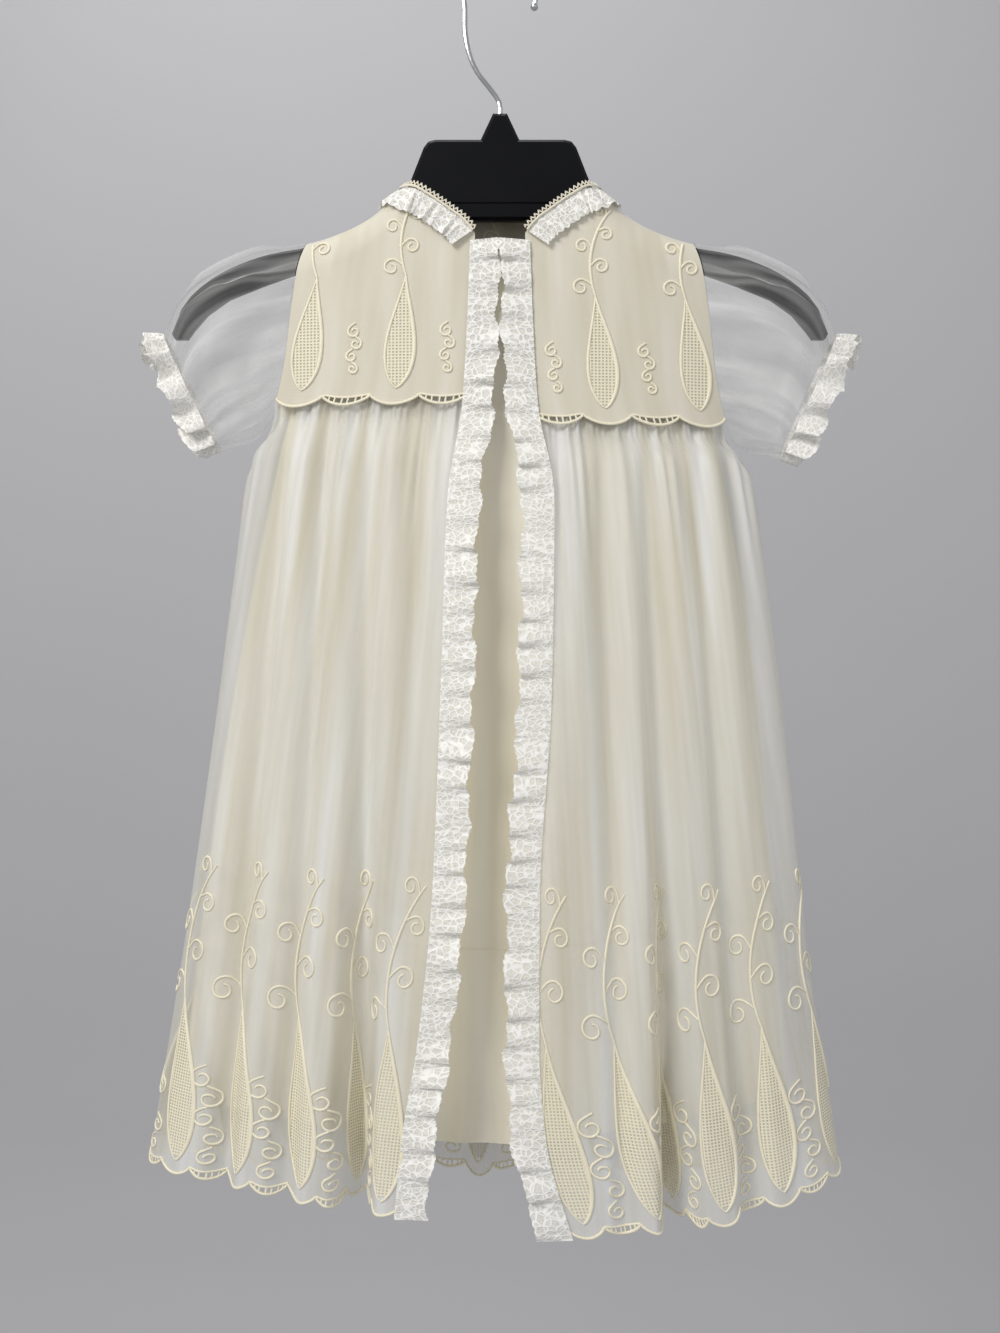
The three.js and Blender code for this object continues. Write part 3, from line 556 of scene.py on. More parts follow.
class Neckline:
    """The neckline from the left front edge round the back to the right one, and bands sewn to it."""

    def __init__(self):
        mirror = np.array([-1, 1, 1])
        front, back = half_neck(FRONT, 17, 26, 30), half_neck(BACK, 0, 26, 46)
        half = np.concatenate([front * mirror, (back * mirror)[-2::-1]])
        knots = np.concatenate([half, (half * mirror)[-2::-1]])
        self.x, self.z, self.side = knots.T
        after, before = np.roll(knots, -1, axis=0), np.roll(knots, 1, axis=0)
        after[-1], before[0] = knots[-1], knots[0]
        across = unit(np.stack([after[:, 1] - before[:, 1], before[:, 0] - after[:, 0]], axis=1))
        across = across * np.where(across[:, 1:] > 0, -1, 1)
        down_arm = unit(np.stack([np.sign(self.x), np.full(len(self.x), -NECK_RISE)], axis=1))
        over = 1 - smooth(ridge(self.x) - self.z, 0, 14)
        self.near = np.where(np.abs(self.x) > 1, over, 0)
        self.away = unit(lerp(across, down_arm, self.near[:, None]))
        places = self.point(np.arange(len(knots)), 0.0, 1.0)
        steps = np.linalg.norm(np.diff(places, axis=0), axis=1)
        self.lengths = np.concatenate([[0], np.cumsum(steps)])
        self.length = self.lengths[-1]

    def point(self, index, out, lift):
        """Point of a band, so far out from the neckline and so far above the cloth."""
        index, out, lift = np.broadcast_arrays(index, out, lift)
        knots = np.arange(len(self.x))
        x, z, near = (np.interp(index, knots, column) for column in (self.x, self.z, self.near))
        away = unit(np.stack([np.interp(index, knots, self.away[:, i]) for i in (0, 1)], axis=-1))
        side = self.side[np.rint(index).astype(int)]
        x = x + away[..., 0] * out
        drop = np.maximum(0, ridge(x) - z - away[..., 1] * out) * (1 - smooth(near, 0.9, 1))
        raised = lift * (1 - smooth(drop, 0, SHOULDER_FALL))
        return chest(x, ridge(x) + raised - drop, side, lift)

    def at(self, distance, out, lift):
        return self.point(np.interp(distance, self.lengths, np.arange(len(self.x))), out, lift)


NECK_LACE_LIFT = 1.95
LACE_WAVES = 33
LACE_TOP_Z = -186
LACE_BOTTOM_Z = {LEFT: -794, RIGHT: -806}


def front_lace(hand):
    word = WORD[hand]

    def point(u, v):
        z = lerp(LACE_TOP_Z, LACE_BOTTOM_Z[hand], u)
        phase = 2 * np.pi * LACE_WAVES * u
        uneven = 0.35 + 0.9 * np.sin(2 * np.pi * 2.7 * u + hand) ** 2 + 0.25 * np.sin(2 * np.pi * 9.7 * u)
        sewn, free = opening(z, word) + hand * 3, opening(z, word + "Lace")
        picot = np.abs(np.sin(phase * 3)) * smooth(v, 0.85, 1)
        waver = -hand * (v * (1.4 * np.sin(phase * 0.37 + hand) + 0.9 * np.sin(phase + 1)) + picot)
        turn = phase + 0.9 * np.sin(phase / 7) + 0.5 * np.sin(phase / 2.6)
        crinkle = 0.16 * (np.sin(phase * 3.1 + 5 * v) + np.sin(phase * 4.7 - 3 * v + hand))
        lift = SEAM + LACE + (1 - np.cos(turn)) * lerp(0.3, 1.9, v) * uneven + crinkle
        return chest(lerp(sewn, free, v) + waver, z + 2 * v * uneven * np.sin(turn + 1.2), FRONT, lift)
    return point


# Making meshes

# Half widths of the threads
THREAD_HALF, STEM_HALF = 0.85, 1.0
EDGE_HALF, INNER_HALF, BAR_HALF = 0.95, 0.7, 0.62


def grid_mesh(name, columns, rows, point, flat, material, outwards, closed=False, fall=None):
    """A sheet shaped from a grid, with a UV map in millimetres of the flat cloth. point(u, v) gives
    places in millimetres, and outwards is a point inside the piece that its faces turn from.
    fall(u, v) gives the map's share across where the cloth's lines hang straight."""
    bm = bmesh.new()
    bmesh.ops.create_grid(bm, x_segments=columns, y_segments=rows, size=0.5)
    mesh = bpy.data.meshes.new(name)
    bm.to_mesh(mesh)
    flat_places = np.zeros(len(mesh.vertices) * 3)
    mesh.vertices.foreach_get("co", flat_places)
    u = flat_places[0::3] + 0.5
    v = 0.5 - flat_places[1::3]
    places = point(u, v) * MM
    mesh.vertices.foreach_set("co", places.ravel())
    corners = np.zeros(len(mesh.loops), int)
    mesh.loops.foreach_get("vertex_index", corners)
    share = fall(u, v) if fall else u
    spread = np.stack([share[corners] * flat[0], (1 - v[corners]) * flat[1]], axis=1)
    mesh.uv_layers.new(name="cloth").data.foreach_set("uv", spread.ravel())
    bm.clear()
    bm.from_mesh(mesh)
    if closed:
        bmesh.ops.remove_doubles(bm, verts=bm.verts, dist=0.02 * MM)
    bm.normal_update()
    inside = np.array(outwards) * MM
    facing = sum(np.dot(np.array(f.normal), np.array(f.calc_center_median()) - inside) for f in bm.faces)
    if facing < 0:
        bmesh.ops.reverse_faces(bm, faces=bm.faces)
    return finish_piece(name, bm, mesh, material)


def finish_piece(name, bm, mesh, material):
    for face in bm.faces:
        face.smooth = True
    bm.to_mesh(mesh)
    bm.free()
    mesh.materials.append(material)
    piece = bpy.data.objects.new(name, mesh)
    bpy.context.scene.collection.objects.link(piece)
    return piece


def dress(piece, slot, *nodes):
    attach(piece, "root")
    if nodes:
        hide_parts(*nodes)
    return piece


def cords(name, lines, place, material, flatten=0.8):
    """Threads laid along flat lines of (x, y, radius) and set on the cloth by place(x, y, lift)."""
    curve = bpy.data.curves.new(name, "CURVE")
    curve.dimensions = "3D"
    curve.bevel_depth = 1.0
    curve.bevel_resolution = 1
    curve.use_fill_caps = True
    for line in lines:
        spline = curve.splines.new("POLY")
        spline.points.add(len(line) - 1)
        spots = np.concatenate([line[:, :2], np.zeros((len(line), 1)), np.ones((len(line), 1))], axis=1)
        spline.points.foreach_set("co", spots.ravel())
        spline.points.foreach_set("radius", line[:, 2])
    holder = bpy.data.objects.new(name, curve)
    mesh = bpy.data.meshes.new_from_object(holder)
    bpy.data.objects.remove(holder)
    bpy.data.curves.remove(curve)
    flat = np.zeros(len(mesh.vertices) * 3)
    mesh.vertices.foreach_get("co", flat)
    x, y, height = flat.reshape(-1, 3).T
    places = place(x, y, height * flatten + 0.35) * MM
    mesh.vertices.foreach_set("co", places.ravel())
    mesh.name = name
    mesh.materials.clear()
    bm = bmesh.new()
    bm.from_mesh(mesh)
    return finish_piece(name, bm, mesh, material)


def scroll(x, y, heading, *runs, width=THREAD_HALF, step=1.0):
    """A line of thread from a point, as arcs that each have a length and a turn to the left."""
    points = [(x, y)]
    angle = math.radians(heading)
    for length, turn in runs:
        count = max(3, round(length / step))
        for _ in range(count):
            angle += math.radians(turn) / count
            x += length / count * math.cos(angle)
            y += length / count * math.sin(angle)
            points.append((x, y))
    line = np.array(points)
    share = np.linspace(0, 1, len(line))
    radius = width * (0.75 + 0.25 * np.sin(np.pi * share))
    return np.column_stack([line, radius])


def curl(spot, heading, size, turn):
    """A scroll that winds up on itself, to the left with turn 1 and to the right with -1."""
    runs = [(0.8 * size, 15 * turn), (size, 90 * turn), (1.2 * size, 130 * turn), (size, 165 * turn)]
    return scroll(*spot, heading, *runs)


def on(line, share):
    """Place on a line at a share of its points."""
    return line[round(share * (len(line) - 1)), :2]


SHORTEST_STRETCH = 18  # points, about 1 mm apart


def clipped(lines, inside):
    """The stretches of the lines that lie inside the cloth."""
    kept = []
    for line in lines:
        shown = inside(line[:, 0], line[:, 1])
        breaks = np.flatnonzero(np.diff(shown.astype(int))) + 1
        for run, seen in zip(np.split(line, breaks), np.split(shown, breaks)):
            if seen[0] and len(run) > SHORTEST_STRETCH:
                kept.append(run)
    return kept


class Leaf:
    """A pointed leaf from its lower tip to its upper one, in flat millimetres."""

    def __init__(self, low, high, left, right):
        self.low, self.high = np.array(low, float), np.array(high, float)
        self.left, self.right = left, right
        self.axis = self.high - self.low
        self.across = np.array([self.axis[1], -self.axis[0]]) / np.linalg.norm(self.axis)

    def at(self, share, side):
        """Point at a share of the leaf's length, from its left edge at -1 to its right at 1."""
        belly = np.sin(np.pi * share**0.62) ** 1.2
        reach = np.where(side < 0, side * self.left, side * self.right) * belly
        return self.low + self.axis * share[..., None] + self.across * reach[..., None]

    def edge(self, side, radius, step=1.3):
        share = np.linspace(0, 1, max(8, round(np.linalg.norm(self.axis) / step)))
        points = self.at(share, np.full(len(share), float(side)))
        return np.column_stack([points, radius * (0.35 + 0.65 * np.sin(np.pi * share**0.8) ** 0.6)])


def net_patches(name, leaves, place, material):
    """The net that fills each leaf, a grid shaped to it, joined as one mesh."""
    bm = bmesh.new()
    uv_layer = bm.loops.layers.uv.new("cloth")
    whole = bpy.data.meshes.new(name)
    for leaf in leaves:
        made = bmesh.ops.create_grid(bm, x_segments=8, y_segments=44, size=0.5)
        verts = made["verts"]
        flat = np.array([v.co[:2] for v in verts])
        share = 0.03 + 0.92 * (flat[:, 1] + 0.5)
        spots = leaf.at(share, 1.76 * flat[:, 0])
        places = place(spots[:, 0], spots[:, 1], np.full(len(spots), 0.3)) * MM
        for vert, spot_on, spot in zip(verts, places, spots):
            vert.co = spot_on
            for loop in vert.link_loops:
                loop[uv_layer].uv = spot
    return finish_piece(name, bm, whole, material)


# Materials


def colour(hex_value):
    """Linear colour of an sRGB hex value."""
    parts = [int(hex_value[i:i + 2], 16) / 255 for i in (1, 3, 5)]
    return (*(c / 12.92 if c <= 0.04045 else ((c + 0.055) / 1.055) ** 2.4 for c in parts), 1.0)


def add_node(tree, kind, sockets=None, **settings):
    """Adds a node with its settings. sockets gives inputs a value or another node's output."""
    made = tree.nodes.new("ShaderNode" + kind)
    for name, value in settings.items():
        setattr(made, name, value)
    for name, value in (sockets or {}).items():
        if isinstance(value, bpy.types.NodeSocket):
            tree.links.new(value, made.inputs[name])
        else:
            made.inputs[name].default_value = value
    return made


def new_material(name):
    material = bpy.data.materials.new(name)
    material.use_nodes = True
    material.node_tree.nodes.clear()
    return material, material.node_tree


def finish_material(tree, sockets):
    shader = add_node(tree, "BsdfPrincipled", sockets)
    add_node(tree, "OutputMaterial", {"Surface": shader.outputs["BSDF"]})


def wave_scale(spacing):
    """Scale of a wave texture whose bands are so far apart."""
    return math.pi / (10 * spacing)


def coordinates(tree, kind):
    return add_node(tree, "TexCoord").outputs[kind]


def bands(tree, direction, spacing):
    """Waves along one way of the flat cloth, so many millimetres apart."""
    sockets = {"Vector": coordinates(tree, "UV"), "Scale": wave_scale(spacing)}
    return add_node(tree, "TexWave", sockets, wave_type="BANDS", bands_direction=direction).outputs["Fac"]


def cells(tree, size):
    """Distance from the edges of irregular cells of a size in millimetres."""
    sockets = {"Vector": coordinates(tree, "UV"), "Scale": 1 / size}
    return add_node(tree, "TexVoronoi", sockets, feature="DISTANCE_TO_EDGE").outputs["Distance"]


def joined(tree, one, other, operation):
    return add_node(tree, "Math", {0: one, 1: other}, operation=operation).outputs["Value"]


def spread(tree, value, low, high, first=0.0, last=1.0):
    """A value that runs from first to last, spread from low to high."""
    sockets = {"Value": value, "From Min": first, "From Max": last, "To Min": low, "To Max": high}
    return add_node(tree, "MapRange", sockets).outputs["Result"]


def relief(tree, height, strength, depth):
    """Normal of a surface that a height raises, with its depth in millimetres."""
    sockets = {"Height": height, "Strength": strength, "Distance": depth * MM}
    return add_node(tree, "Bump", sockets).outputs["Normal"]


def drift(tree, scale, detail, vector=None):
    sockets = {"Vector": vector or coordinates(tree, "Object"), "Scale": scale, "Detail": detail}
    return add_node(tree, "TexNoise", sockets).outputs["Fac"]


def blend(tree, share, light, dark):
    tones = {0: share, 6: colour(dark), 7: colour(light)}
    return add_node(tree, "Mix", tones, data_type="RGBA").outputs[2]


def mottled(tree, light, dark, scale):
    """A colour that drifts softly between two."""
    return blend(tree, drift(tree, scale, 3.0), light, dark)


def painted_fold_streaks(tree, across, down):
    """Soft streaks along the fall of the cloth, of a width and a length in millimetres, painted as the light
    and dark bands of folds.
    """
    sockets = {"Vector": coordinates(tree, "UV"), "Scale": (1 / across, 1 / down, 1.0)}
    placed = add_node(tree, "Mapping", sockets).outputs["Vector"]
    return spread(tree, drift(tree, 1.0, 2.5, placed), 0.0, 1.0, 0.32, 0.68)


def cloth_material(name, light, dark, cover, streak, thread, roughness, sheen, bump=0.25):
    """A woven cloth: its two tones, a light one and a darker painted shade, the least and most that it
    covers, the width and length of the streaks between them, which paint the light and dark bands of folds,
    and the spacing of its threads."""
    material, tree = new_material(name)
    weave = joined(tree, *(bands(tree, direction, thread) for direction in "XY"), "ADD")
    # Painted light and shade: the streaks mix the light tone with the dark painted shade as fold bands, and
    # also set how much the cloth covers
    fall = painted_fold_streaks(tree, *streak)
    sockets = {
        "Base Color": blend(tree, fall, light, dark), "Roughness": roughness, "IOR": 1.5,
        "Sheen Weight": sheen, "Sheen Roughness": 0.4, "Normal": relief(tree, weave, bump, 0.1),
    }
    if min(cover) < 1:
        sockets["Alpha"] = spread(tree, fall, *cover)
    finish_material(tree, sockets)
    return material


def lace_material(name, light, dark, motif):
    """Machine-made nylon lace: bright cords round cells of a fine net. The net's real cells are under
    a millimetre, and are drawn at 1.8, since they would be too fine to show."""
    material, tree = new_material(name)
    cord = spread(tree, cells(tree, motif), 1.0, 0.0, 0.06, 0.16)
    net = spread(tree, cells(tree, 1.8), 0.8, 0.0, 0.08, 0.34)
    finish_material(tree, {
        "Base Color": blend(tree, cord, light, dark), "Roughness": 0.55, "IOR": 1.53, "Sheen Weight": 0.25,
        "Alpha": spread(tree, joined(tree, cord, net, "MAXIMUM"), 0.62, 0.98),
        "Normal": relief(tree, cord, 0.6, 0.5),
    })
    return material


def net_material():
    """Net stitched inside the leaves: rows of small eyelets between raised threads."""
    material, tree = new_material("stitched_net")
    holes = joined(tree, bands(tree, "X", 2.3), bands(tree, "Y", 2.0), "MULTIPLY")
    threads = spread(tree, holes, 1.0, 0.0, 0.30, 0.55)
    finish_material(tree, {
        "Base Color": colour("#F1EAD0"), "Roughness": 0.6, "IOR": 1.5, "Sheen Weight": 0.2,
        "Alpha": spread(tree, threads, 0.12, 0.95), "Normal": relief(tree, threads, 0.8, 0.4),
    })
    return material


def thread_material(name, light, dark, roughness):
    """Twisted cotton and rayon embroidery thread, softly glossy where it is laid as satin stitch."""
    material, tree = new_material(name)
    twist = add_node(
        tree, "TexWave",
        {"Vector": coordinates(tree, "Object"), "Scale": wave_scale(0.9 * MM), "Distortion": 2.0},
        wave_type="BANDS", bands_direction="DIAGONAL",
    )
    finish_material(tree, {
        "Base Color": mottled(tree, light, dark, 60.0), "Roughness": roughness, "IOR": 1.5,
        "Sheen Weight": 0.3, "Normal": relief(tree, twist.outputs["Fac"], 0.35, 0.15),
    })
    return material


def plastic_material():
    """Black polystyrene, injection moulded: half gloss with a faint grain and dust-dulled patches."""
    material, tree = new_material("moulded_polystyrene")
    finish_material(tree, {
        "Base Color": mottled(tree, "#0E0F14", "#090A0D", 18.0),
        "Roughness": spread(tree, drift(tree, 22.0, 5.0), 0.28, 0.46),
        "IOR": 1.59, "Specular IOR Level": 0.1, "Normal": relief(tree, drift(tree, 900.0, 4.0), 0.12, 0.1),
    })
    return material


def steel_material():
    """Bright nickel-plated steel wire, drawn, with fine scratches."""
    material, tree = new_material("plated_steel")
    finish_material(tree, {
        "Base Color": mottled(tree, "#D2D4D6", "#B9BBBE", 90.0), "Metallic": 1.0,
        "Roughness": spread(tree, drift(tree, 420.0, 6.0), 0.12, 0.3),
    })
    return material


# Sheer crisp nylon, closer in streaks; the streaks also paint the folds' light bands white and their shade
# cream
ORGANZA = cloth_material("nylon_organza", "#EFF0F0", "#E3DFCF", (0.4, 0.68), (26, 300), 0.9, 0.5, 0.25)
# The same nylon in one layer, clearer, with cloudy streaks along its puffs that paint their folds' light and
# a grey painted shade
SLEEVE_ORGANZA = cloth_material(
    "nylon_organza_single", "#F3F3F2", "#DEDEDD", (0.0, 0.43), (12, 150), 0.9, 0.45, 0.2
)
# Organza laid on the cream lining, so that nothing shows through, with streaks of painted shade for its soft
# creases
LINED_ORGANZA = cloth_material("organza_over_lining", "#DFDACB", "#CFC8B4", (1, 1), (20, 110), 0.9, 0.6, 0.2)
# Plain cream lining, closely woven and matt, with faint streaks of painted fold shade
SLIP_CLOTH = cloth_material("woven_lining", "#F4F0E2", "#EBE3CA", (1, 1), (24, 300), 0.8, 0.7, 0.1)
WHITE_LACE = lace_material("nylon_lace", "#F9F8F4", "#E6E4DC", 3.8)
CUFF_LACE = lace_material("nylon_lace_fine", "#F8F7F3", "#E6E4DD", 3.4)
STITCHED_NET = net_material()
THREAD = thread_material("embroidery_thread", "#F8F2DC", "#EDE5C9", 0.45)
BRAID_THREAD = thread_material("gimp_braid", "#EFE9D8", "#E0D8C0", 0.6)


# Pieces


def make_skirts():
    for hand in (LEFT, RIGHT):
        make_skirt(WORD[hand], front_panel(hand), FRONT_SCALLOPS[hand], f"front_{WORD[hand]}")
    make_skirt("back", back_panel(), BACK_SCALLOPS, "back")


EYELET_BAND = 4.6
EYELET_BARS = 6


def is_eyelet(word, count):
    """Whether a scallop, counted from the panel's left as seen from outside, has eyelets."""
    first = {"left": 0, "right": 1, "back": 0}[word]
    return (np.floor(count).astype(int) % 2) == first


def make_skirt(word, panel, scallops, part):
    """A skirt panel with its border. s is in flat millimetres from its left as seen from outside,
    and t rises from the cusps of its hem."""
    width = scallops * SCALLOP_WIDTH
    height = panel.first_top - panel.last_hem

    def across(s):
        return s / width if word == "left" else 1 - s / width

    def edge(s):
        """Depth of the cloth's own edge below the cusps: it stops short where eyelets are."""
        count = s / SCALLOP_WIDTH
        eyelets = EYELET_BAND * np.abs(np.sin(np.pi * count)) ** 0.5
        return HEM_SCALLOP * scallop(count) - np.where(is_eyelet(word, count), eyelets, 0)

    def cloth(u, v):
        s = np.clip((u if word == "left" else 1 - u) * width, 0.01, width - 0.01)
        return panel.point(u, v + edge(s) / height * smooth(v, 0.93, 1))

    def place(s, t, lift):
        return panel.lifted(across(s), 1 - t / height, lift)

    columns = round(width / 1.25)
    piece = grid_mesh(
        f"skirt_{word}_cloth", columns, 150, cloth, (width, height), ORGANZA, (0, 0, -500), fall=panel.fall
    )
    dress(piece, "organza", f"skirt_{part}")
    threads = cords(f"border_threads_{word}", border_lines(word, scallops), place, THREAD)
    leaves = [border_leaf(word, x) for x in border_repeats(word, scallops)]
    net = net_patches(f"border_net_{word}", leaves, place, STITCHED_NET)
    trims = [dress(trim, "organza") for trim in (threads, net)]


def border_repeats(word, scallops):
    """Middles of the plain scallops, each with a leaf above it."""
    counts = np.arange(scallops) + 0.5
    return [count * SCALLOP_WIDTH for count in counts if not is_eyelet(word, count)]


LEAF_FOOT = 2.0  # the leaf's lower tip above the cusps
LEAF_TALL = 107
LEAF_LEAN = {"left": -13, "right": -4, "back": -8}  # of its upper tip, against the cloth's lines
LEAF_BULGE = (9.2, 14.2)


def border_leaf(word, x):
    return Leaf((x, LEAF_FOOT), (x + LEAF_LEAN[word], LEAF_FOOT + LEAF_TALL), *LEAF_BULGE)


STEM_HEADING = 110
STEM_RUNS = ((48, -30), (48, -30))  # an even bow: length and turn of each half
STEM_RINGS = 5
RING_OPENS = 35  # degrees between the stem and a ring that leaves it
RING_SIZES = (13, 8.5)  # lowest and highest


def spray(x, y, scale=1.0):
    """A bowed stem that rises from a leaf's upper tip, with rings at even steps, to either side in
    turn and smaller towards its tip."""
    stem = scroll(x, y, STEM_HEADING, *((run * scale, turn) for run, turn in STEM_RUNS), width=STEM_HALF)
    lines = [stem]
    bend = sum(turn for _, turn in STEM_RUNS)
    for count in range(STEM_RINGS):
        share = (count + 0.6) / STEM_RINGS
        turn = -1 if count % 2 else 1
        heading = STEM_HEADING + bend * share + RING_OPENS * turn
        lines.append(curl(on(stem, share), heading, lerp(*RING_SIZES, share) * scale, turn))
    return lines


CHAIN_TOP, CHAIN_STEP, CHAIN_RINGS = 68, 13.5, 5
CHAIN_SIZES = (9.5, 7)  # highest and lowest
CHAIN_OPENS = 65  # degrees between straight down and the way a ring sets out
GATHERED = 1.3  # how much wider the chain is drawn on the gathered cloth


def chain(x, y, slant, scale=1.0, wide=1.0):
    """Rings that hang one from another between two leaves, opening to either side in turn, over a
    place on the line of the cusps."""
    lines = []
    for count, size in enumerate(np.linspace(*CHAIN_SIZES, CHAIN_RINGS)):
        turn = -1 if count % 2 else 1
        level = CHAIN_TOP - CHAIN_STEP * count
        place = (x + slant * level * scale, y + level * scale)
        line = curl(place, 270 - CHAIN_OPENS * turn, size * scale, turn)
        line[:, 0] = lerp(x, line[:, 0], wide)
        lines.append(line)
    return lines


ARC_STEPS = 25


def scalloped_edge(ends, depth, eyelets, flow):
    """Satin-stitched edge of a border whose scallops lie between the ends, with a second arc and
    bars where a scallop has eyelets. flow(s, t) puts a place along the edge and up from its cusps."""
    lines = []
    for first, last, open_work in zip(ends[:-1], ends[1:], eyelets):
        share = np.linspace(0, 1, ARC_STEPS + 1)
        s = lerp(first, last, share)
        outer = -depth * scallop(share)
        lines.append(np.column_stack([*flow(s, outer), np.full(len(s), EDGE_HALF)]))
        if not open_work:
            continue
        inner = outer + EYELET_BAND * np.abs(np.sin(np.pi * share)) ** 0.5
        lines.append(np.column_stack([*flow(s, inner), np.full(len(s), INNER_HALF)]))
        for bar in range(1, EYELET_BARS + 1):
            at = np.full(2, round(ARC_STEPS * bar / (EYELET_BARS + 1)))
            ends_of_bar = flow(s[at], np.array([inner[at[0]], outer[at[0]]]))
            lines.append(np.column_stack([*ends_of_bar, [BAR_HALF, BAR_HALF]]))
    return lines


def border_lines(word, scallops):
    width = scallops * SCALLOP_WIDTH
    lines = []
    middles = border_repeats(word, scallops)
    for middle in [middles[0] - 2 * SCALLOP_WIDTH, *middles]:
        leaf = border_leaf(word, middle)
        if middle > 0:
            lines += [leaf.edge(1, 1.8), leaf.edge(-1, 0.95)]
        lines += spray(*leaf.high)
        lines += chain(middle + SCALLOP_WIDTH + 2, 0, LEAF_LEAN[word] / LEAF_TALL, wide=GATHERED)
    eyelets = [is_eyelet(word, count + 0.5) for count in range(scallops)]
    edge = np.clip(np.arange(scallops + 1) * SCALLOP_WIDTH, 0.5, width - 0.5)
    kept = clipped(lines, lambda x, y: (x > 0.8) & (x < width - 0.8) & (y > -4))
    return kept + scalloped_edge(edge, HEM_SCALLOP, eyelets, lambda s, t: (s, t))


# The yoke is cut from the same bordered cloth, with a leaf over each plain scallop
YOKE_LEAF_FOOT, YOKE_LEAF_TALL, YOKE_LEAF_BULGE = 4, 72, (9, 9.5)
YOKE_MOTIF = 0.62  # size of its scrolls beside those of the hem
YOKE_SCALLOPS = {"left": 4, "right": 4, "back": 9}


def make_yoke(word, side, first, last, seam):
    """A yoke panel between the lines first(z) and last(z), with its embroidery."""
    scallops = YOKE_SCALLOPS[word]
    point = yoke_point(side, first, last, seam, scallops)
    eyelets = [count % 2 == 1 for count in range(scallops)]
    mirror = -1 if side == BACK else 1

    def cloth(u, v):
        gap = np.array(eyelets, float)[np.minimum((u * scallops).astype(int), scallops - 1)]
        band = gap * EYELET_BAND * np.abs(np.sin(np.pi * u * scallops)) ** 0.5
        here = point(u, v)
        level = here[..., 2] + band * smooth(v, 0.9, 1)
        return chest(here[..., 0], level, side)

    def place(x, z, lift):
        return chest(x * mirror, z, side, lift)

    def flow(s, t):
        z = seam + t
        return lerp(first(z), last(z), s) * mirror, z

    def stand(count):
        """Feet and tips over the middle of a scallop, along the cloth's own lines."""
        foot = seam + YOKE_LEAF_FOOT
        share = (count + 0.5) / scallops
        return [(lerp(first(z), last(z), share) * mirror, z) for z in (foot, foot + YOKE_LEAF_TALL)]

    across, flat = (240, (290, 118)) if side == BACK else (110, (128, 112))
    piece = grid_mesh(
        f"yoke_{word}_cloth", across, 110, lambda u, v: cloth(u, v**1.5), flat, LINED_ORGANZA, (0, 0, -400)
    )
    dress(piece, "organza", "yoke_back" if side == BACK else f"yoke_front_{word}")
    leaves = [Leaf(*stand(count), *YOKE_LEAF_BULGE) for count in range(0, scallops, 2)]
    lines = [leaf.edge(hand, width) for leaf in leaves for hand, width in ((1, 1.5), (-1, 1.0))]
    for leaf in leaves:
        lines += spray(*leaf.high, YOKE_MOTIF)
    for count in range(1, scallops, 2):
        low, high = stand(count)
        lines += chain(*low, (high[0] - low[0]) / YOKE_LEAF_TALL, YOKE_MOTIF)

    def inside(x, z):
        edges = np.stack([first(z) * mirror, last(z) * mirror])
        shown = (x > edges.min(axis=0) + 2) & (x < edges.max(axis=0) - 2)
        return shown & (z < yoke_top(x, side) - 4) & (z > seam + 1)

    lines = clipped(lines, inside)
    lines += scalloped_edge(np.linspace(0, 1, scallops + 1), YOKE_SCALLOP, eyelets, flow)
    trims = [
        dress(cords(f"yoke_threads_{word}", lines, place, THREAD), "organza"),
        dress(net_patches(f"yoke_net_{word}", leaves, place, STITCHED_NET), "organza"),
    ]


def make_yokes():
    for hand in (LEFT, RIGHT):
        word = WORD[hand]
        make_yoke(
            word, FRONT, lambda z, h=hand: h * armhole(z, h), lambda z, w=word: opening(z, w), YOKE_SEAM[hand]
        )
    make_yoke("back", BACK, lambda z: -armhole(z, LEFT), lambda z: armhole(z, RIGHT), BACK_YOKE_SEAM)


SLIP_HEM_DEPTH = 124  # from the slip's hem up to the stitches that hold it
STITCH, STITCH_PITCH = 2.3, 3.4


def make_slips():
    for side, word in ((FRONT, "front"), (BACK, "back")):
        panel = slip_panel(side)
        width, height = panel.widths[-1], panel.first_top - panel.last_hem
        piece = grid_mesh(
            f"slip_{word}_cloth", 200, 110, panel.point, (width, height), SLIP_CLOTH, (0, 0, -500),
            fall=panel.fall,
        )
        dress(piece, "slip_cloth", f"slip_{word}")
        level = SLIP_HEM_DEPTH
        starts = np.arange(4, width - 6, STITCH_PITCH)
        stitches = [np.array([[s, level, 0.3], [s + STITCH, level, 0.3]]) for s in starts]

        def place(s, t, lift, panel=panel, width=width, height=height):
            return panel.lifted(s / width, 1 - t / height, lift)

        hem = dress(cords(f"slip_hem_{word}", stitches, place, THREAD), "slip_cloth")


def make_sleeves():
    for hand in (LEFT, RIGHT):
        word = WORD[hand]
        inside = (hand * 170, 0, -240)
        piece = grid_mesh(
            f"sleeve_{word}_cloth", 216, 80, sleeve_cloth(hand), (300, 88), SLEEVE_ORGANZA, inside,
            closed=True,
        )
        dress(piece, "organza", f"sleeve_{word}")
        ruffle = grid_mesh(
            f"cuff_{word}", 360, 14, cuff_lace(hand), (330, LACE_WIDTH), CUFF_LACE, inside, closed=True
        )
        dress(ruffle, "lace", f"cuff_lace_{word}")


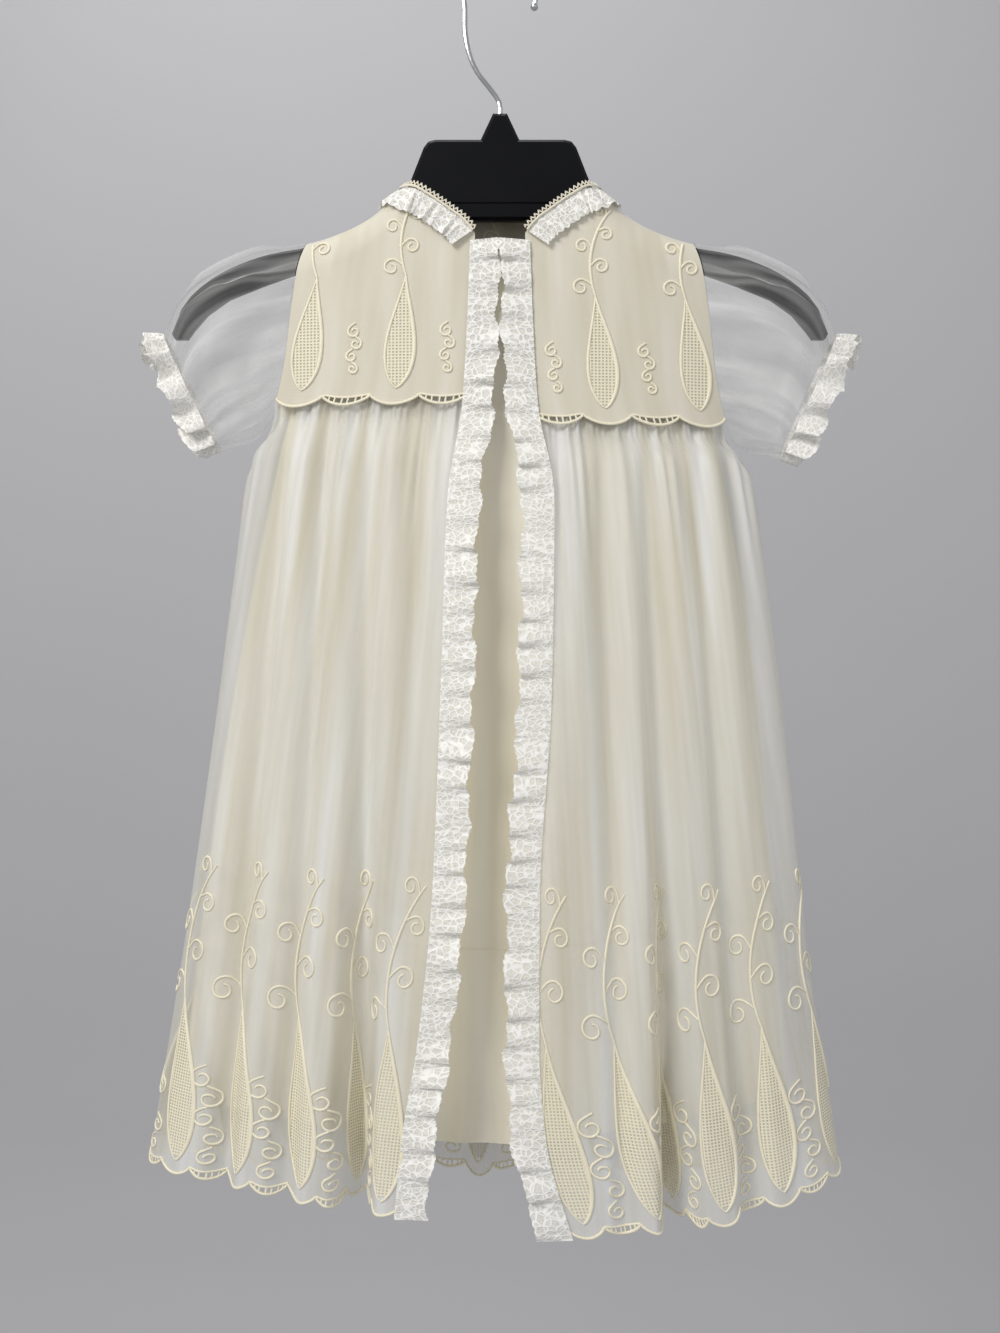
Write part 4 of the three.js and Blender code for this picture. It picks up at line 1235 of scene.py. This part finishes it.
def make_neck():
    neck = Neckline()

    def band(u, v):
        distance = u * neck.length
        ripple = np.cos(2 * np.pi * distance / 8) + 0.6 * np.cos(2 * np.pi * distance / 5.3 + 1)
        out = lerp(0.5, LACE_WIDTH, v) + 1.1 * np.abs(np.sin(np.pi * distance / 4.5)) * smooth(v, 0.85, 1)
        return neck.at(distance, out, NECK_LACE_LIFT + 0.95 * v**0.6 * (1.6 + ripple))

    piece = grid_mesh("neck_ruffle", 460, 14, band, (neck.length, LACE_WIDTH), WHITE_LACE, (0, 0, -400))
    dress(piece, "lace", "neck_lace")

    loops = 96
    pitch = neck.length / loops
    share = np.arange(0, loops, 0.1)
    loop_x = (share + 0.16 * np.sin(2 * np.pi * share)) * pitch
    loop_y = -0.4 - 2.6 * np.abs(np.sin(np.pi * share)) ** 0.8
    edge = np.column_stack([loop_x, loop_y, np.full(len(share), 0.5)])
    line = np.arange(0, neck.length, 1.2)
    foot = np.column_stack([line, np.full(len(line), 0.3), np.full(len(line), 0.75)])
    strand = np.column_stack([line, 0.3 + 0.5 * np.sin(line * 1.3), np.full(len(line), 0.55)])
    braid = cords(
        "neck_gimp", [edge, foot, strand],
        lambda x, y, lift: neck.at(x, y, lift + NECK_LACE_LIFT + 1.0), BRAID_THREAD,
    )
    dress(braid, "braid", "neck_braid")


def make_front_laces():
    for hand in (LEFT, RIGHT):
        word = WORD[hand]
        length = LACE_TOP_Z - LACE_BOTTOM_Z[hand]
        piece = grid_mesh(
            f"lace_{word}", 620, 12, front_lace(hand), (length * 1.25, LACE_WIDTH), WHITE_LACE, (0, 0, -500)
        )
        dress(piece, "lace", f"front_lace_{word}")


def make_hanger():
    for node, material in (("hanger_body", plastic_material()), ("hanger_hook", steel_material())):
        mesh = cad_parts[node].data
        mesh.materials.clear()
        mesh.materials.append(material)


# Studio


def make_backdrop():
    """A pale sweep: floor, round corner and wall."""
    material, tree = new_material("matt_wall_paint")
    finish_material(tree, {"Base Color": mottled(tree, "#C6C6C8", "#BEBEC0", 0.8), "Roughness": 0.9})
    floor_z, wall_y, corner, near_y, top_z, half = -2.1, 2.6, 0.5, -4.0, 2.6, 4.5
    bm = bmesh.new()
    bmesh.ops.create_grid(bm, x_segments=2, y_segments=40, size=0.5)
    flat = wall_y - corner - near_y
    arc = corner * math.pi / 2
    whole = flat + arc + top_z - floor_z - corner
    for vert in bm.verts:
        run = (vert.co.y + 0.5) * whole
        if run < flat:
            place = (near_y + run, floor_z)
        elif run < flat + arc:
            angle = (run - flat) / corner
            place = (wall_y - corner + corner * math.sin(angle), floor_z + corner * (1 - math.cos(angle)))
        else:
            place = (wall_y, floor_z + corner + run - flat - arc)
        vert.co = (vert.co.x * 2 * half, *place)
    sweep = finish_piece("backdrop", bm, bpy.data.meshes.new("backdrop"), material)


def add_light(name, place, target, size, power, tint):
    data = bpy.data.lights.new(name, "AREA")
    data.shape = "SQUARE"
    data.size = size
    data.energy = power
    data.color = colour(tint)[:3]
    lamp = bpy.data.objects.new(name, data)
    lamp.location = place
    aim = np.array(target) - np.array(place)
    turn = math.atan2(aim[1], aim[0]) - math.pi / 2
    tilt = math.atan2(math.hypot(aim[0], aim[1]), -aim[2])
    lamp.rotation_euler = (tilt, 0, turn)
    bpy.context.scene.collection.objects.link(lamp)


def make_studio():
    make_backdrop()
    add_light("key", (-1.4, -1.9, 1.1), (0, 0, -0.5), 1.1, 50, "#FFFDFA")
    add_light("fill", (2.2, -1.8, -0.1), (0, 0, -0.5), 2.0, 11, "#F6F8FF")
    add_light("wash", (-0.5, 0.9, 2.2), (0, 2.6, 0.3), 1.8, 25, "#FFFFFF")
    world = bpy.data.worlds.new("studio")
    world.use_nodes = True
    background = world.node_tree.nodes["Background"]
    background.inputs["Color"].default_value = colour("#EDEDEE")
    background.inputs["Strength"].default_value = 0.5
    bpy.context.scene.world = world
    bpy.context.scene.view_settings.view_transform = "Standard"


def make_camera():
    data = bpy.data.cameras.new("camera")
    data.lens = 41.5
    data.clip_end = 30
    camera = bpy.data.objects.new("camera", data)
    camera.location = (0, -1.0, -0.457)
    camera.rotation_euler = (math.pi / 2, 0, 0)
    bpy.context.scene.collection.objects.link(camera)
    bpy.context.scene.camera = camera


make_camera()
make_studio()
make_hanger()
make_skirts()
make_yokes()
make_slips()
make_sleeves()
make_neck()
make_front_laces()
